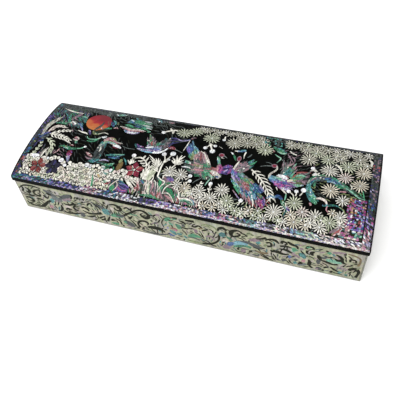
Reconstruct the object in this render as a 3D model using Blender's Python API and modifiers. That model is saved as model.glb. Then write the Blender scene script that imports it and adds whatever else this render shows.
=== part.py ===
"""A mother of pearl brush case: a lacquered wooden box with shell panels let into its four sides,
closed by an arched lid that rests on the walls and lifts off.

The box lies along X and stands on z = 0, with the origin at the centre of its underside.
"""

import math

import bmesh
import bpy

# Box, in metres
BODY_LENGTH = 0.330
BODY_WIDTH = 0.107
BODY_HEIGHT = 0.042
WALL = 0.006
FLOOR = 0.005
BODY_EDGE_RADIUS = 0.0008

# Lid
LID_OVERHANG = 0.001
LID_EDGE_HEIGHT = 0.0056
LID_CROWN = 0.0052
LID_SHOULDER = 0.0018
LID_THICKNESS = 0.005
LID_CORNER_RADIUS = 0.0012
LID_END_ROUNDING = 0.0007

# Shallow field in the lid's top that the shell picture is laid in, and the plain lip around it
PICTURE_LIP = 0.0014
PICTURE_DEPTH = 0.0002

# Rim under the lid that keeps it in place inside the walls
RIM_WIDTH = 0.004
RIM_DEPTH = 0.004
RIM_CLEARANCE = 0.0006

# Shell panels
PANEL_THICKNESS = 0.0006
PANEL_MARGIN = 0.0012
PANEL_PROUD = 0.0001

# Gap that pieces resting on each other keep
SEAT_GAP = 0.0003

# Numbers of steps in the drawn outlines and rounded edges
CROWN_STEPS = 30
CORNER_STEPS = 4
EDGE_SEGMENTS = 3
END_ROUNDING_STEPS = 2

# How sharply the lid's shoulder falls away near its long edges
SHOULDER_POWER = 6

# How far a cutter reaches past the face that it opens, and how deep joined shapes overlap
CUTTER_EXCESS = 0.002
JOIN_DEPTH = 0.001

WELD_DISTANCE = 0.00001

# Edges that turn by less than this, in degrees, are shaded smooth
SMOOTH_ANGLE = 35

# Colours are linear red, green, blue
LACQUER = {"colour": (0.008, 0.008, 0.009), "roughness": 0.14, "metallic": 0.0}
SHELL = {"colour": (0.56, 0.57, 0.47), "roughness": 0.25, "metallic": 0.0}

LID_HALF_LENGTH = BODY_LENGTH / 2 + LID_OVERHANG
LID_HALF_WIDTH = BODY_WIDTH / 2 + LID_OVERHANG
LID_BASE = BODY_HEIGHT + SEAT_GAP
INNER_HALF_LENGTH = BODY_LENGTH / 2 - WALL
INNER_HALF_WIDTH = BODY_WIDTH / 2 - WALL
RIM_HALF_LENGTH = INNER_HALF_LENGTH - RIM_CLEARANCE
RIM_HALF_WIDTH = INNER_HALF_WIDTH - RIM_CLEARANCE


def clear_scene():
    for item in list(bpy.data.objects):
        bpy.data.objects.remove(item, do_unlink=True)


def new_collection(name):
    collection = bpy.data.collections.new(name)
    bpy.context.scene.collection.children.link(collection)
    return collection


def new_material(name, finish):
    material = bpy.data.materials.new(name)
    material.use_nodes = True
    shader = material.node_tree.nodes["Principled BSDF"]
    shader.inputs["Base Color"].default_value = (*finish["colour"], 1.0)
    shader.inputs["Roughness"].default_value = finish["roughness"]
    shader.inputs["Metallic"].default_value = finish["metallic"]
    return material


def put_in(item, collection):
    for holder in list(item.users_collection):
        holder.objects.unlink(item)
    collection.objects.link(item)


def new_box(name, low, high, collection):
    """A box between two opposite corners, with its scale applied."""
    bpy.ops.mesh.primitive_cube_add(size=1)
    item = bpy.context.object
    item.name = name
    item.location = [(a + b) / 2 for a, b in zip(low, high)]
    item.scale = [b - a for a, b in zip(low, high)]
    bpy.ops.object.transform_apply(location=False, rotation=False, scale=True)
    put_in(item, collection)
    return item


def new_bar(name, outline, half_length, rounding, collection):
    """A solid bar along X whose section is an outline of (y, z) points, with its end edges rounded."""
    curve = bpy.data.curves.new(name, "CURVE")
    curve.dimensions = "2D"
    curve.fill_mode = "BOTH"
    curve.extrude = half_length - rounding
    curve.bevel_depth = rounding
    curve.offset = -rounding
    curve.bevel_resolution = END_ROUNDING_STEPS
    spline = curve.splines.new("POLY")
    spline.points.add(len(outline) - 1)
    for point, (y, z) in zip(spline.points, outline):
        point.co = (y, z, 0, 1)
    spline.use_cyclic_u = True

    drawn = bpy.data.objects.new(name + "_outline", curve)
    drawn.rotation_euler = (math.pi / 2, 0, math.pi / 2)
    collection.objects.link(drawn)
    bpy.context.view_layer.update()

    evaluated = drawn.evaluated_get(bpy.context.evaluated_depsgraph_get())
    mesh = bpy.data.meshes.new_from_object(evaluated)
    mesh.transform(drawn.matrix_world)
    form = bmesh.new()
    form.from_mesh(mesh)
    bmesh.ops.remove_doubles(form, verts=form.verts, dist=WELD_DISTANCE)
    bmesh.ops.recalc_face_normals(form, faces=form.faces)
    form.to_mesh(mesh)
    form.free()
    bpy.data.objects.remove(drawn)

    item = bpy.data.objects.new(name, mesh)
    collection.objects.link(item)
    return item


def bevel(item, width):
    modifier = item.modifiers.new("rounded_edges", "BEVEL")
    modifier.width = width
    modifier.segments = EDGE_SEGMENTS


def combine(item, other, operation):
    modifier = item.modifiers.new(other.name, "BOOLEAN")
    modifier.operation = operation
    modifier.object = other
    modifier.solver = "EXACT"
    other.hide_render = True
    other.display_type = "WIRE"


def rounded_corner(start, corner, end):
    """Points of a smooth turn from start to end that is drawn towards the corner."""
    points = []
    for step in range(CORNER_STEPS + 1):
        share = step / CORNER_STEPS
        weights = ((1 - share) ** 2, 2 * share * (1 - share), share**2)
        points.append(
            tuple(sum(w * p[axis] for w, p in zip(weights, (start, corner, end))) for axis in (0, 1))
        )
    return points


def lid_top(y):
    """Height of the lid's arched top above its underside, at a distance y from the middle."""
    share = abs(y) / LID_HALF_WIDTH
    return LID_EDGE_HEIGHT + LID_CROWN * (1 - share**2) + LID_SHOULDER * (1 - share**SHOULDER_POWER)


def arch(half, depth):
    """Points at a depth below the arched top, from one side of the lid to the other."""
    points = []
    for step in range(CROWN_STEPS + 1):
        y = half * math.cos(math.pi * step / CROWN_STEPS)
        points.append((y, lid_top(y) - depth))
    return points


def lid_outline():
    """The lid's section: flat underside, upright edges, rounded corners and arched top."""
    radius = LID_CORNER_RADIUS
    arch_half = LID_HALF_WIDTH - radius
    corner = rounded_corner(
        (LID_HALF_WIDTH, LID_EDGE_HEIGHT - radius),
        (LID_HALF_WIDTH, LID_EDGE_HEIGHT),
        (arch_half, lid_top(arch_half)),
    )
    mirrored = [(-y, z) for y, z in reversed(corner)]
    return [(-LID_HALF_WIDTH, 0), (LID_HALF_WIDTH, 0)] + corner + arch(arch_half, 0)[1:-1] + mirrored


def hollow_outline():
    """Section of the hollow under the lid, which follows the arch at the lid's thickness."""
    half = RIM_HALF_WIDTH - RIM_WIDTH
    below = -RIM_DEPTH - CUTTER_EXCESS
    return [(-half, below), (half, below)] + arch(half, LID_THICKNESS)


def field_outline():
    """Section of the shallow field for the picture, which follows the arch inside the lip."""
    half = LID_HALF_WIDTH - PICTURE_LIP
    above = lid_top(0) + CUTTER_EXCESS
    return [(-half, above), (half, above)] + arch(half, PICTURE_DEPTH)


def make_body(parts, cutters):
    """The open box: four walls and a floor in one, with a recess for each shell panel."""
    body = new_box(
        "case_body",
        (-BODY_LENGTH / 2, -BODY_WIDTH / 2, 0),
        (BODY_LENGTH / 2, BODY_WIDTH / 2, BODY_HEIGHT),
        parts,
    )
    bevel(body, min(BODY_EDGE_RADIUS, PANEL_MARGIN))
    hollow = new_box(
        "body_hollow",
        (-INNER_HALF_LENGTH, -INNER_HALF_WIDTH, FLOOR),
        (INNER_HALF_LENGTH, INNER_HALF_WIDTH, BODY_HEIGHT + CUTTER_EXCESS),
        cutters,
    )
    combine(body, hollow, "DIFFERENCE")
    recess_depth = PANEL_THICKNESS - PANEL_PROUD + SEAT_GAP
    for name, low, high in side_boxes(recess_depth, CUTTER_EXCESS, 0):
        combine(body, new_box(name + "_recess", low, high, cutters), "DIFFERENCE")
    return body


def side_boxes(inward, outward, inset):
    """A name and two corners for a flat box on each side, between planes inward and outward of its face."""
    low_z = PANEL_MARGIN + inset
    high_z = BODY_HEIGHT - PANEL_MARGIN - inset
    along = BODY_LENGTH / 2 - PANEL_MARGIN - inset
    across = BODY_WIDTH / 2 - PANEL_MARGIN - inset
    boxes = []
    for name, side in (("front", -1), ("back", 1)):
        planes = sorted(side * (BODY_WIDTH / 2 + reach) for reach in (-inward, outward))
        boxes.append((name, (-along, planes[0], low_z), (along, planes[1], high_z)))
    for name, side in (("left", -1), ("right", 1)):
        planes = sorted(side * (BODY_LENGTH / 2 + reach) for reach in (-inward, outward))
        boxes.append((name, (planes[0], -across, low_z), (planes[1], across, high_z)))
    return boxes


def make_panels(parts):
    """The thin sheets of shell that fill the recesses."""
    panels = []
    for name, low, high in side_boxes(PANEL_THICKNESS - PANEL_PROUD, PANEL_PROUD, SEAT_GAP):
        panels.append(new_box(name + "_shell_panel", low, high, parts))
    return panels


def make_lid(parts, cutters):
    """The arched lid in one piece with the rim that drops inside the walls."""
    lid = new_bar("lid", lid_outline(), LID_HALF_LENGTH, LID_END_ROUNDING, parts)
    lid.location.z = LID_BASE
    rim = new_box(
        "lid_rim",
        (-RIM_HALF_LENGTH, -RIM_HALF_WIDTH, LID_BASE - RIM_DEPTH),
        (RIM_HALF_LENGTH, RIM_HALF_WIDTH, LID_BASE + JOIN_DEPTH),
        cutters,
    )
    combine(lid, rim, "UNION")
    hollow = new_bar("lid_hollow", hollow_outline(), RIM_HALF_LENGTH - RIM_WIDTH, 0, cutters)
    hollow.location.z = LID_BASE
    combine(lid, hollow, "DIFFERENCE")
    field = new_bar("picture_field", field_outline(), LID_HALF_LENGTH - PICTURE_LIP, 0, cutters)
    field.location.z = LID_BASE
    combine(lid, field, "DIFFERENCE")
    return lid


def shade(item):
    item.data.shade_smooth()
    item.data.set_sharp_from_angle(angle=math.radians(SMOOTH_ANGLE))


def main():
    clear_scene()
    parts = new_collection("brush_case")
    cutters = new_collection("cutters")
    lacquer = new_material("black_lacquer", LACQUER)
    shell = new_material("pale_shell", SHELL)

    for item in (make_body(parts, cutters), make_lid(parts, cutters)):
        shade(item)
        item.data.materials.append(lacquer)
    for panel in make_panels(parts):
        panel.data.materials.append(shell)


main()
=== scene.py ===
"""Looks of the mother of pearl brush case: the lid's inlaid picture, its border, the scrolls on the
sides, and the lacquer and shell materials. Shapes are drawn flat in millimetres, as an inlayer cuts
them, and then laid on the lid's arch or on a side."""

import math
import random

import bmesh
import bpy
import numpy as np
from mathutils import Matrix


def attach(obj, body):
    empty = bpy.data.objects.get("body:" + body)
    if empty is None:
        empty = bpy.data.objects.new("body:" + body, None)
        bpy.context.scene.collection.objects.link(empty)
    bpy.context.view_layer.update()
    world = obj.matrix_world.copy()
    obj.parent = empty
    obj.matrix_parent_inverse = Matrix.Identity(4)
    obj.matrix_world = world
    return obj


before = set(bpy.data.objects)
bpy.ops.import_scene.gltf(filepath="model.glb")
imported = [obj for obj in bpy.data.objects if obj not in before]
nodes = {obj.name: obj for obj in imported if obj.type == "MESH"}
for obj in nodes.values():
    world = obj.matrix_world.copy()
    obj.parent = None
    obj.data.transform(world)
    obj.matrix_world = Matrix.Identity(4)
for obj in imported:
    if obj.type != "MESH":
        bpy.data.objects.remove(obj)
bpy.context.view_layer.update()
rng = random.Random(7)

# The lid's arch, as in the CAD, in metres
LID_HALF_WIDTH = 0.0545
LID_BASE = 0.0423
LID_EDGE_HEIGHT = 0.0056
LID_CROWN = 0.0052
LID_SHOULDER = 0.0018
SHOULDER_POWER = 6
PICTURE_DEPTH = 0.0002

# Outer faces of the shell panels, in metres
SIDE_X = 0.1651
SIDE_Y = 0.0536

# Everything below is in millimetres, up to the camera

# The lid's rounded long edge, as (across, above the lid's base): where its curve starts, bends and
# ends, how far it starts from the picture's field, how long it is, and how the lip before it lies
EDGE_START = np.array([53.3, 6.05])
EDGE_BEND = np.array([54.5, 5.6])
EDGE_END = np.array([54.5, 4.4])
EDGE_FROM_FIELD = 0.2
EDGE_LENGTH = 2.2
LIP_RISE = 0.8
LIP_OUTWARD = np.array([0.37, 0.93])

# The small rounding at the lid's ends, and where the picture's field ends before it
END_ROUNDING = 0.7
FIELD_END = 164.6

# The picture's border on the lid: its outer edge, and its inner edge on each side
FIELD_U, FIELD_V = 164.5, 53.0
INNER_LEFT, INNER_RIGHT, INNER_FRONT, INNER_BACK = -159.6, 158.4, -48.6, 50.2
BORDER_GAP, EDGE_GAP = 0.1, 0.04

# Lowest and highest top of the inlay above what it is laid on, and how its groups share the heights
LOW, HIGH = 0.07, 0.18
SPREAD_STEP = 0.618
STACK_LEVELS = 60

# Small cuts that fill shapes from this width on: width of a lane, length, lean and gap between them
WIDE_SHAPE = 2.4
FEATHER_LANE = 1.5
FEATHER_PITCH = 1.9
FEATHER_SLANT = 0.45
FEATHER_GAP = 0.2

# Width of a band in the rocks
ROCK_BAND = 1.3

# Petals of a large flower
FLOWER_PETALS = 5

# Needles to a millimetre of a pine tuft's radius, for tufts behind this v and for those before it.
# The sparser needles at the back leave more black between them, painted shade for the lid's back
FAR_V = 22
FAR_CROWD, NEAR_CROWD = 1.85, 2.05

# Haze behind the sun: where its upright cuts begin, how far apart they are, and how many
HAZE_LEFT, HAZE_TOP = -159, 50
HAZE_STEP = 1.5
HAZE_CUTS = 84

# Distant tree: the area and number of its leaves
TREE_U, TREE_V = (60, 81), (36, 50)
TREE_LEAVES = 70

# Blossom bank: its area, the steps between its heads, how far every other row is shifted, and the
# clearance to its top edge
BANK_LEFT, BANK_RIGHT, BANK_FRONT, BANK_BACK = -157, -50, -46.4, -29
HEAD_STEP_U, HEAD_STEP_V = 5.5, 4.4
HEAD_SHIFT = 2.7
BANK_CLEARANCE = 2.4

# Drawn area of the sides: from bottom to top, its middle, and half of the front's length
SIDE_LOW, SIDE_HIGH = 5.5, 36.5
SIDE_MIDDLE = 21
FRONT_HALF = 161

# Plain vine on the hidden sides: about how long a wave is, its height, the room at each end, the
# points in a wave and in a curl, and the vine's length on the long and the short sides
VINE_BEAT = 27
VINE_HEIGHT = 10
VINE_END = 3
VINE_POINTS = 12
CURL_POINTS = 8
LONG_VINE, SHORT_VINE = 322, 98

# Camera fitted to the photo: angles in degrees, place in lengths of the box (which is in metres), and
# lens and sensor in millimetres
BOX_LENGTH = 0.330
CAMERA_AZIMUTH, CAMERA_ELEVATION, CAMERA_ROLL = 25.0968, 49.0786, -8.5525
CAMERA_BACK, CAMERA_RIGHT, CAMERA_UP = 1.5853, -0.0371, 0.0507
CAMERA_LENS, CAMERA_SENSOR = 46.96, 36
CAMERA_SHIFT_X, CAMERA_SHIFT_Y = 0.0412, -0.0484
CAMERA_CLIP = 0.01

# Studio: how far the floor reaches to each side, in metres, and the strength of the white world
FLOOR_REACH = 6
WORLD_STRENGTH = 0.7

# Edges that turn by less than this, in degrees, are shaded smooth
SMOOTH_ANGLE = 35

# Each tint's colours as the eye sees them, 0 to 255
TINTS = {
    "silver": [(218, 216, 204), (196, 194, 181), (230, 228, 219), (184, 183, 170)],
    "cream": [(215, 207, 188), (196, 189, 170), (224, 218, 204)],
    "rose": [(214, 194, 190), (198, 190, 180), (221, 210, 206)],
    "leafy": [(194, 199, 175), (174, 181, 157), (210, 213, 192)],
    # Dimmed silver for the back pine tufts: painted shade
    "straw": [(192, 190, 174), (170, 169, 152), (204, 202, 188), (176, 178, 154)],
    "white": [(236, 235, 230), (210, 217, 221), (231, 223, 228)],
    "mint": [(140, 188, 164), (100, 162, 134), (180, 206, 190)],
    "green": [(34, 112, 80), (70, 150, 108), (20, 74, 58), (92, 164, 124)],
    "emerald": [(26, 122, 74), (48, 148, 94), (16, 84, 54), (40, 130, 96)],
    "jade": [(92, 178, 140), (70, 156, 116), (122, 198, 160)],
    "teal": [(40, 108, 112), (78, 150, 146), (24, 72, 84), (48, 128, 104)],
    "sky": [(92, 148, 168), (130, 182, 190), (74, 108, 160), (170, 198, 202)],
    "blue": [(40, 74, 130), (68, 104, 160), (30, 54, 100), (60, 122, 150)],
    "indigo": [(34, 34, 72), (52, 48, 100), (24, 28, 54)],
    "navy": [(24, 24, 54), (14, 14, 30), (36, 34, 72)],
    "wine": [(104, 30, 38), (74, 22, 28), (128, 54, 48), (58, 40, 24)],
    "violet": [(92, 68, 142), (120, 96, 168), (66, 58, 128), (142, 104, 168)],
    "lilac": [(168, 154, 188), (138, 132, 174), (196, 186, 202)],
    "mauve": [(112, 94, 104), (142, 118, 128), (92, 88, 94)],
    "magenta": [(156, 60, 126), (128, 48, 102), (182, 98, 152), (98, 40, 90)],
    "pink": [(184, 138, 142), (164, 114, 124), (202, 172, 168)],
    "red": [(130, 54, 60), (142, 78, 74), (100, 42, 50)],
    "crimson": [(128, 26, 50), (100, 20, 42), (152, 46, 66)],
    "olive": [(104, 120, 72), (130, 142, 98), (78, 88, 60)],
    "gold": [(172, 142, 86), (142, 112, 68), (196, 174, 124)],
    "bronze": [(86, 68, 40), (116, 96, 54), (60, 44, 28)],
    "grey": [(104, 112, 110), (78, 90, 88), (130, 136, 132)],
    "dusk": [(48, 57, 55), (34, 44, 43), (70, 79, 75), (42, 42, 50)],
    "ink": [(32, 34, 26), (46, 48, 38), (22, 24, 19)],
    "slate": [(54, 63, 68), (40, 48, 50), (72, 80, 82)],
}

# Tints that are cut side by side in feathers, clouds and rocks
KIN = {
    "mint": ["mint", "white", "green", "sky"],
    "green": ["green", "mint", "teal", "olive"],
    "emerald": ["emerald", "green", "emerald"],
    "jade": ["jade", "emerald", "mint"],
    "teal": ["teal", "green", "sky", "slate"],
    "sky": ["sky", "white", "teal", "blue"],
    "blue": ["blue", "sky", "indigo", "teal"],
    "indigo": ["indigo", "violet", "blue", "slate"],
    "violet": ["violet", "lilac", "indigo", "magenta"],
    "lilac": ["lilac", "violet", "white", "sky"],
    "mauve": ["mauve", "pink", "grey", "slate"],
    "magenta": ["magenta", "pink", "violet", "crimson"],
    "pink": ["pink", "rose", "red", "mauve"],
    "red": ["red", "crimson", "pink", "mauve"],
    "olive": ["olive", "green", "grey", "leafy"],
    "grey": ["grey", "slate", "mauve", "silver"],
    "slate": ["slate", "grey", "dusk", "teal"],
    "dusk": ["dusk", "slate", "ink", "dusk"],
    "silver": ["silver", "white", "leafy", "rose"],
}


# Materials


def linear(colour):
    return tuple((c / 255 / 12.92 if c < 11 else ((c / 255 + 0.055) / 1.055) ** 2.4) for c in colour)


def new_material(name, roughness, specular, coat=0.0):
    """A material, its node tree and its shader."""
    material = bpy.data.materials.new(name)
    material.use_nodes = True
    tree = material.node_tree
    shader = tree.nodes["Principled BSDF"]
    shader.inputs["Roughness"].default_value = roughness
    shader.inputs["Specular IOR Level"].default_value = specular
    shader.inputs["Coat Weight"].default_value = coat
    shader.inputs["Coat Roughness"].default_value = 0.06
    return material, tree, shader


def node(tree, kind, **settings):
    item = tree.nodes.new("ShaderNode" + kind)
    for name, value in settings.items():
        if name in item.inputs:
            item.inputs[name].default_value = value
        else:
            setattr(item, name, value)
    return item


def fill_socket(tree, socket, value):
    """Sets a socket to a number or a colour, or links it to another socket."""
    if isinstance(value, (int, float)):
        socket.default_value = value
    elif isinstance(value, tuple):
        socket.default_value = (*linear(value), 1)
    else:
        tree.links.new(value, socket)


def noise(tree, scale, detail=2.0, distortion=0.0, stretch=(1, 1, 1), turn=(0, 0, 0)):
    """A noise's value in the object's own coordinates, stretched to fill 0 to 1."""
    place = node(tree, "TexCoord")
    mapping = node(tree, "Mapping", Scale=stretch, Rotation=turn)
    texture = node(tree, "TexNoise", Scale=scale, Detail=detail, Distortion=distortion)
    spread = node(tree, "MapRange")
    spread.inputs["From Min"].default_value = 0.34
    spread.inputs["From Max"].default_value = 0.66
    tree.links.new(place.outputs["Object"], mapping.inputs["Vector"])
    tree.links.new(mapping.outputs["Vector"], texture.inputs["Vector"])
    tree.links.new(texture.outputs["Fac"], spread.inputs["Value"])
    return spread.outputs["Result"]


def math_node(tree, operation, *values):
    item = node(tree, "Math", operation=operation)
    for socket, value in zip(item.inputs, values):
        fill_socket(tree, socket, value)
    return item.outputs[0]


def axes_of(tree):
    """The X, Y and Z of a point in the object's own coordinates."""
    axes = node(tree, "SeparateXYZ")
    tree.links.new(node(tree, "TexCoord").outputs["Object"], axes.inputs["Vector"])
    return axes.outputs


def ramp(tree, value, colours, places=None):
    """A colour picked along colours at the given places, or else evenly placed ones."""
    item = node(tree, "ValToRGB")
    stops = item.color_ramp.elements
    while len(stops) < len(colours):
        stops.new(0.5)
    for index, colour in enumerate(colours):
        stops[index].position = places[index] if places else index / (len(colours) - 1)
    for index, colour in enumerate(colours):
        stops[index].color = (*linear(colour), 1)
    tree.links.new(value, item.inputs["Fac"])
    return item.outputs["Color"]


def blend_colours(tree, share, first, second, kind="MIX"):
    item = node(tree, "Mix", data_type="RGBA", blend_type=kind)
    for index, value in ((0, share), (6, first), (7, second)):
        fill_socket(tree, item.inputs[index], value)
    return item.outputs[2]


def vary_surface(tree, shader, low, high, scale, bump, bump_scale):
    """Roughness that wanders between two values, and a faint unevenness."""
    spread = node(tree, "MapRange")
    spread.inputs["To Min"].default_value = low
    spread.inputs["To Max"].default_value = high
    tree.links.new(noise(tree, scale), spread.inputs["Value"])
    tree.links.new(spread.outputs["Result"], shader.inputs["Roughness"])
    relief = node(tree, "Bump", Strength=bump, Distance=0.0001)
    tree.links.new(noise(tree, bump_scale, 3.0), relief.inputs["Height"])
    tree.links.new(relief.outputs["Normal"], shader.inputs["Normal"])


def shade_lines(tree, shader, tint, lines, darkest):
    """Gives the shader a tint that growth lines darken, at most to the given grey."""
    shade = ramp(tree, lines, [darkest, (255, 255, 255)])
    tree.links.new(blend_colours(tree, 1.0, tint, shade, "MULTIPLY"), shader.inputs["Base Color"])


def shell_material(name, colours, gloss=0.3):
    """Polished shell: its tints swirl and shift from one cut piece to the next, with fine growth lines."""
    material, tree, shader = new_material(name, 0.2, gloss, gloss / 3)
    island = node(tree, "NewGeometry").outputs["Random Per Island"]
    swirl = math_node(tree, "MULTIPLY", noise(tree, 420, 2.0, 1.6), 0.55)
    pick = math_node(tree, "ADD", swirl, math_node(tree, "MULTIPLY", island, 0.45))
    lines = noise(tree, 900, 1.0, 0.6, (1, 0.25, 1), (0, 0, 0.6))
    shade_lines(tree, shader, ramp(tree, pick, colours), lines, (184, 184, 184))
    vary_surface(tree, shader, 0.12, 0.3, 300, 0.12, 700)
    return material


def sun_material():
    """Stained shell, deep red at the top and right, and orange at the lower left."""
    material, tree, shader = new_material("sun_shell", 0.2, 0.2, 0.06)
    axes = axes_of(tree)
    along = math_node(tree, "MULTIPLY", axes["X"], 14)
    rise = math_node(tree, "MULTIPLY", axes["Y"], 38)
    place = math_node(tree, "ADD", math_node(tree, "ADD", along, rise), 1.02)
    wander = math_node(tree, "MULTIPLY", noise(tree, 110, 2.0, 0.5), 0.22)
    colours = [(160, 96, 50), (154, 74, 40), (138, 30, 32), (122, 16, 30), (100, 16, 28)]
    tint = ramp(tree, math_node(tree, "ADD", place, wander), colours, [0.3, 0.58, 0.68, 0.86, 1.0])
    tree.links.new(tint, shader.inputs["Base Color"])
    vary_surface(tree, shader, 0.14, 0.3, 200, 0.1, 700)
    return material


def veneer_material():
    """The sides' pale shell: cream and green-grey, faint pink, lilac and yellow-green patches, partly dimmed
    as painted shade.
    """
    material, tree, shader = new_material("shell_veneer", 0.2, 0.2, 0.08)
    # The shell's own tints, set darker as painted shade for the upright sides, which get less light than the
    # lid
    colours = [
        (158, 164, 128),
        (172, 168, 146),
        (152, 156, 134),
        (170, 158, 146),
        (160, 166, 134),
        (156, 168, 148),
    ]
    base = ramp(tree, noise(tree, 58, 3.0, 0.8), colours)
    patch = noise(tree, 75, 1.0, 1.2, (1, 1, 1), (0.4, 0, 0))
    hint = ramp(tree, patch, [(158, 151, 162), (168, 165, 144), (160, 170, 128), (176, 162, 144)])
    lines = noise(tree, 330, 3.0, 0.4, (1, 1, 0.22), (0, 0.45, 0))
    shade_lines(tree, shader, blend_colours(tree, 0.45, base, hint), lines, (196, 198, 194))
    vary_surface(tree, shader, 0.14, 0.28, 240, 0.1, 900)
    return material


def lacquer_material(name, used_tints_and_edge_highlight=False):
    """Polished black lacquer. On the box its outer edges are pale grey, a painted highlight along the rounded
    edges.
    """
    material, tree, shader = new_material(name, 0.16, 0.015)
    tint = ramp(tree, noise(tree, 90, 3.0, 0.5), [(3, 4, 3), (8, 9, 8), (5, 6, 5)])
    # The box's outer edges above its underside get a pale grey: painted highlight along the rounded edges
    if used_tints_and_edge_highlight:
        axes = axes_of(tree)
        ends = math_node(tree, "GREATER_THAN", math_node(tree, "ABSOLUTE", axes["X"]), 0.1632)
        sides = math_node(tree, "GREATER_THAN", math_node(tree, "ABSOLUTE", axes["Y"]), 0.0517)
        above = math_node(tree, "GREATER_THAN", axes["Z"], 0.0003)
        outer = math_node(tree, "MULTIPLY", math_node(tree, "MAXIMUM", ends, sides), above)
        pale = ramp(tree, noise(tree, 260, 3.0), [(106, 107, 102), (138, 138, 128), (122, 124, 114)])
        tint = blend_colours(tree, outer, tint, pale)
    tree.links.new(tint, shader.inputs["Base Color"])
    vary_surface(tree, shader, 0.08, 0.2, 45, 0.06, 260)
    return material


# Shapes cut from shell, as (tint, flat points, faces, how far below its group it lies)


def smooth(points, steps):
    """Points along a smooth line through the given ones."""
    known = [np.array(point, float) for point in points]
    known = [2 * known[0] - known[1], *known, 2 * known[-1] - known[-2]]
    line = []
    for a, b, c, d in zip(known, known[1:], known[2:], known[3:]):
        for step in range(steps):
            t = step / steps
            bend = (2 * a - 5 * b + 4 * c - d) * t**2 + (3 * b - a - 3 * c + d) * t**3
            line.append(0.5 * (2 * b + (c - a) * t + bend))
    line.append(known[-2])
    return np.array(line)


def trace(points, steps):
    """A smooth line, the direction across it and the share walked at each point, and its length."""
    line = smooth(points, steps)
    run = np.gradient(line, axis=0)
    run /= np.maximum(np.linalg.norm(run, axis=1, keepdims=True), 1e-9)
    across = np.stack([-run[:, 1], run[:, 0]], 1)
    walked = np.concatenate([[0], np.cumsum(np.linalg.norm(np.diff(line, axis=0), axis=1))])
    return line, across, walked / walked[-1], walked[-1]


def widths_at(shares, widths):
    """Half the width at each share of a line, from widths spread evenly along it."""
    return np.interp(shares, np.linspace(0, 1, len(widths)), widths)[:, None] / 2


def polar(centre, radius, angle):
    return (centre[0] + radius * math.cos(angle), centre[1] + radius * math.sin(angle))


def four_sided(points, gap, least):
    """One four-cornered piece, drawn in at its corners by the gap, but not below the least share."""
    middle = points.mean(0)
    reach = np.linalg.norm(points - middle, axis=1, keepdims=True)
    return middle + (points - middle) * np.maximum(1 - gap / np.maximum(reach, 0.01), least)


def strip(tint, points, widths, steps=4):
    """A cut strip along a smooth line, with its width given from end to end."""
    line, across, walked, _ = trace(points, steps)
    half = np.maximum(widths_at(walked, widths), 0.05)
    rows = np.stack([line + across * half, line, line - across * half], 1).reshape(-1, 2)
    faces = []
    for i in range(len(line) - 1):
        for j in (0, 1):
            faces.append((3 * i + j, 3 * i + j + 1, 3 * i + j + 4, 3 * i + j + 3))
    return tint, rows, faces, 0


def drawn(table):
    """The tint, points and widths of each row of a table of tints and their (u, v, width) points."""
    return [(tint, [spot[:2] for spot in spots], [spot[2] for spot in spots]) for tint, *spots in table]


def strips(rows):
    """One group for each strip of a table, so that they may overlap."""
    return [[strip(*row)] for row in rows]


def disc(tint, centre, radius, second=None, turn=0.0, sides=10, drop=0.0):
    """A round or oval cut, in rings so that it can follow the arch."""
    second = radius if second is None else second
    rings = max(1, round(max(radius, second) / 4))
    points = [centre]
    for ring in range(1, rings + 1):
        for side in range(sides):
            angle = 2 * math.pi * side / sides
            x = radius * ring / rings * math.cos(angle)
            y = second * ring / rings * math.sin(angle)
            turned_x = x * math.cos(turn) - y * math.sin(turn)
            turned_y = x * math.sin(turn) + y * math.cos(turn)
            points.append((centre[0] + turned_x, centre[1] + turned_y))
    faces = [(0, 1 + side, 1 + (side + 1) % sides) for side in range(sides)]
    for ring in range(rings - 1):
        inner, outer = 1 + ring * sides, 1 + (ring + 1) * sides
        for side in range(sides):
            following = (side + 1) % sides
            faces.append((inner + side, outer + side, outer + following, inner + following))
    return tint, np.array(points), faces, drop


def feathered(tint, points, widths):
    """A smooth line's width filled with small cuts side by side, in tints close to the given one."""
    line, across, walked, length = trace(points, 5)
    lanes = max(2, round(max(widths) / FEATHER_LANE))
    count = max(2, round(length / FEATHER_PITCH))

    def corner(share, side):
        share = min(max(share + FEATHER_SLANT * (abs(side) - 0.5) / count, 0), 1)
        half = np.interp(share, np.linspace(0, 1, len(widths)), widths) / 2
        return [np.interp(share, walked, line[:, k] + across[:, k] * half * side) for k in (0, 1)]

    cuts = []
    for lane in range(lanes):
        low, high = 2 * lane / lanes - 1, 2 * (lane + 1) / lanes - 1
        shift = (lane % 2) * 0.5
        for index in range(count + (lane % 2)):
            a, b = (index - shift) / count, (index + 1 - shift) / count
            corners = np.array([corner(a, low), corner(b, low), corner(b, high), corner(a, high)])
            kin = KIN[tint][0] if rng.random() < 0.5 else rng.choice(KIN[tint])
            cuts.append((kin, four_sided(corners, FEATHER_GAP, 0.2), [(0, 1, 2, 3)], 0))
    return cuts


def banded(tints, points, widths, gap=0.3):
    """A smooth line's width cut into long bands that run side by side."""
    line, across, _, _ = trace(points, 5)
    half = widths_at(np.linspace(0, 1, len(line)), widths)
    cuts = []
    for lane, tint in enumerate(tints):
        near = half * (2 * lane / len(tints) - 1) + gap / 2
        far = np.maximum(half * (2 * (lane + 1) / len(tints) - 1) - gap / 2, near + 0.05)
        rows = np.stack([line + across * far, line + across * near], 1).reshape(-1, 2)
        faces = [(2 * i, 2 * i + 1, 2 * i + 3, 2 * i + 2) for i in range(len(line) - 1)]
        cuts.append((tint, rows, faces, 0))
    return cuts


def bird_cuts(rows):
    """One group for each row of a table, so that they may overlap. Wide ones are filled with small cuts."""
    groups = []
    for tint, points, widths in rows:
        plain = max(widths) < WIDE_SHAPE or tint not in KIN
        groups.append([strip(tint, points, widths)] if plain else feathered(tint, points, widths))
    return groups


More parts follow.
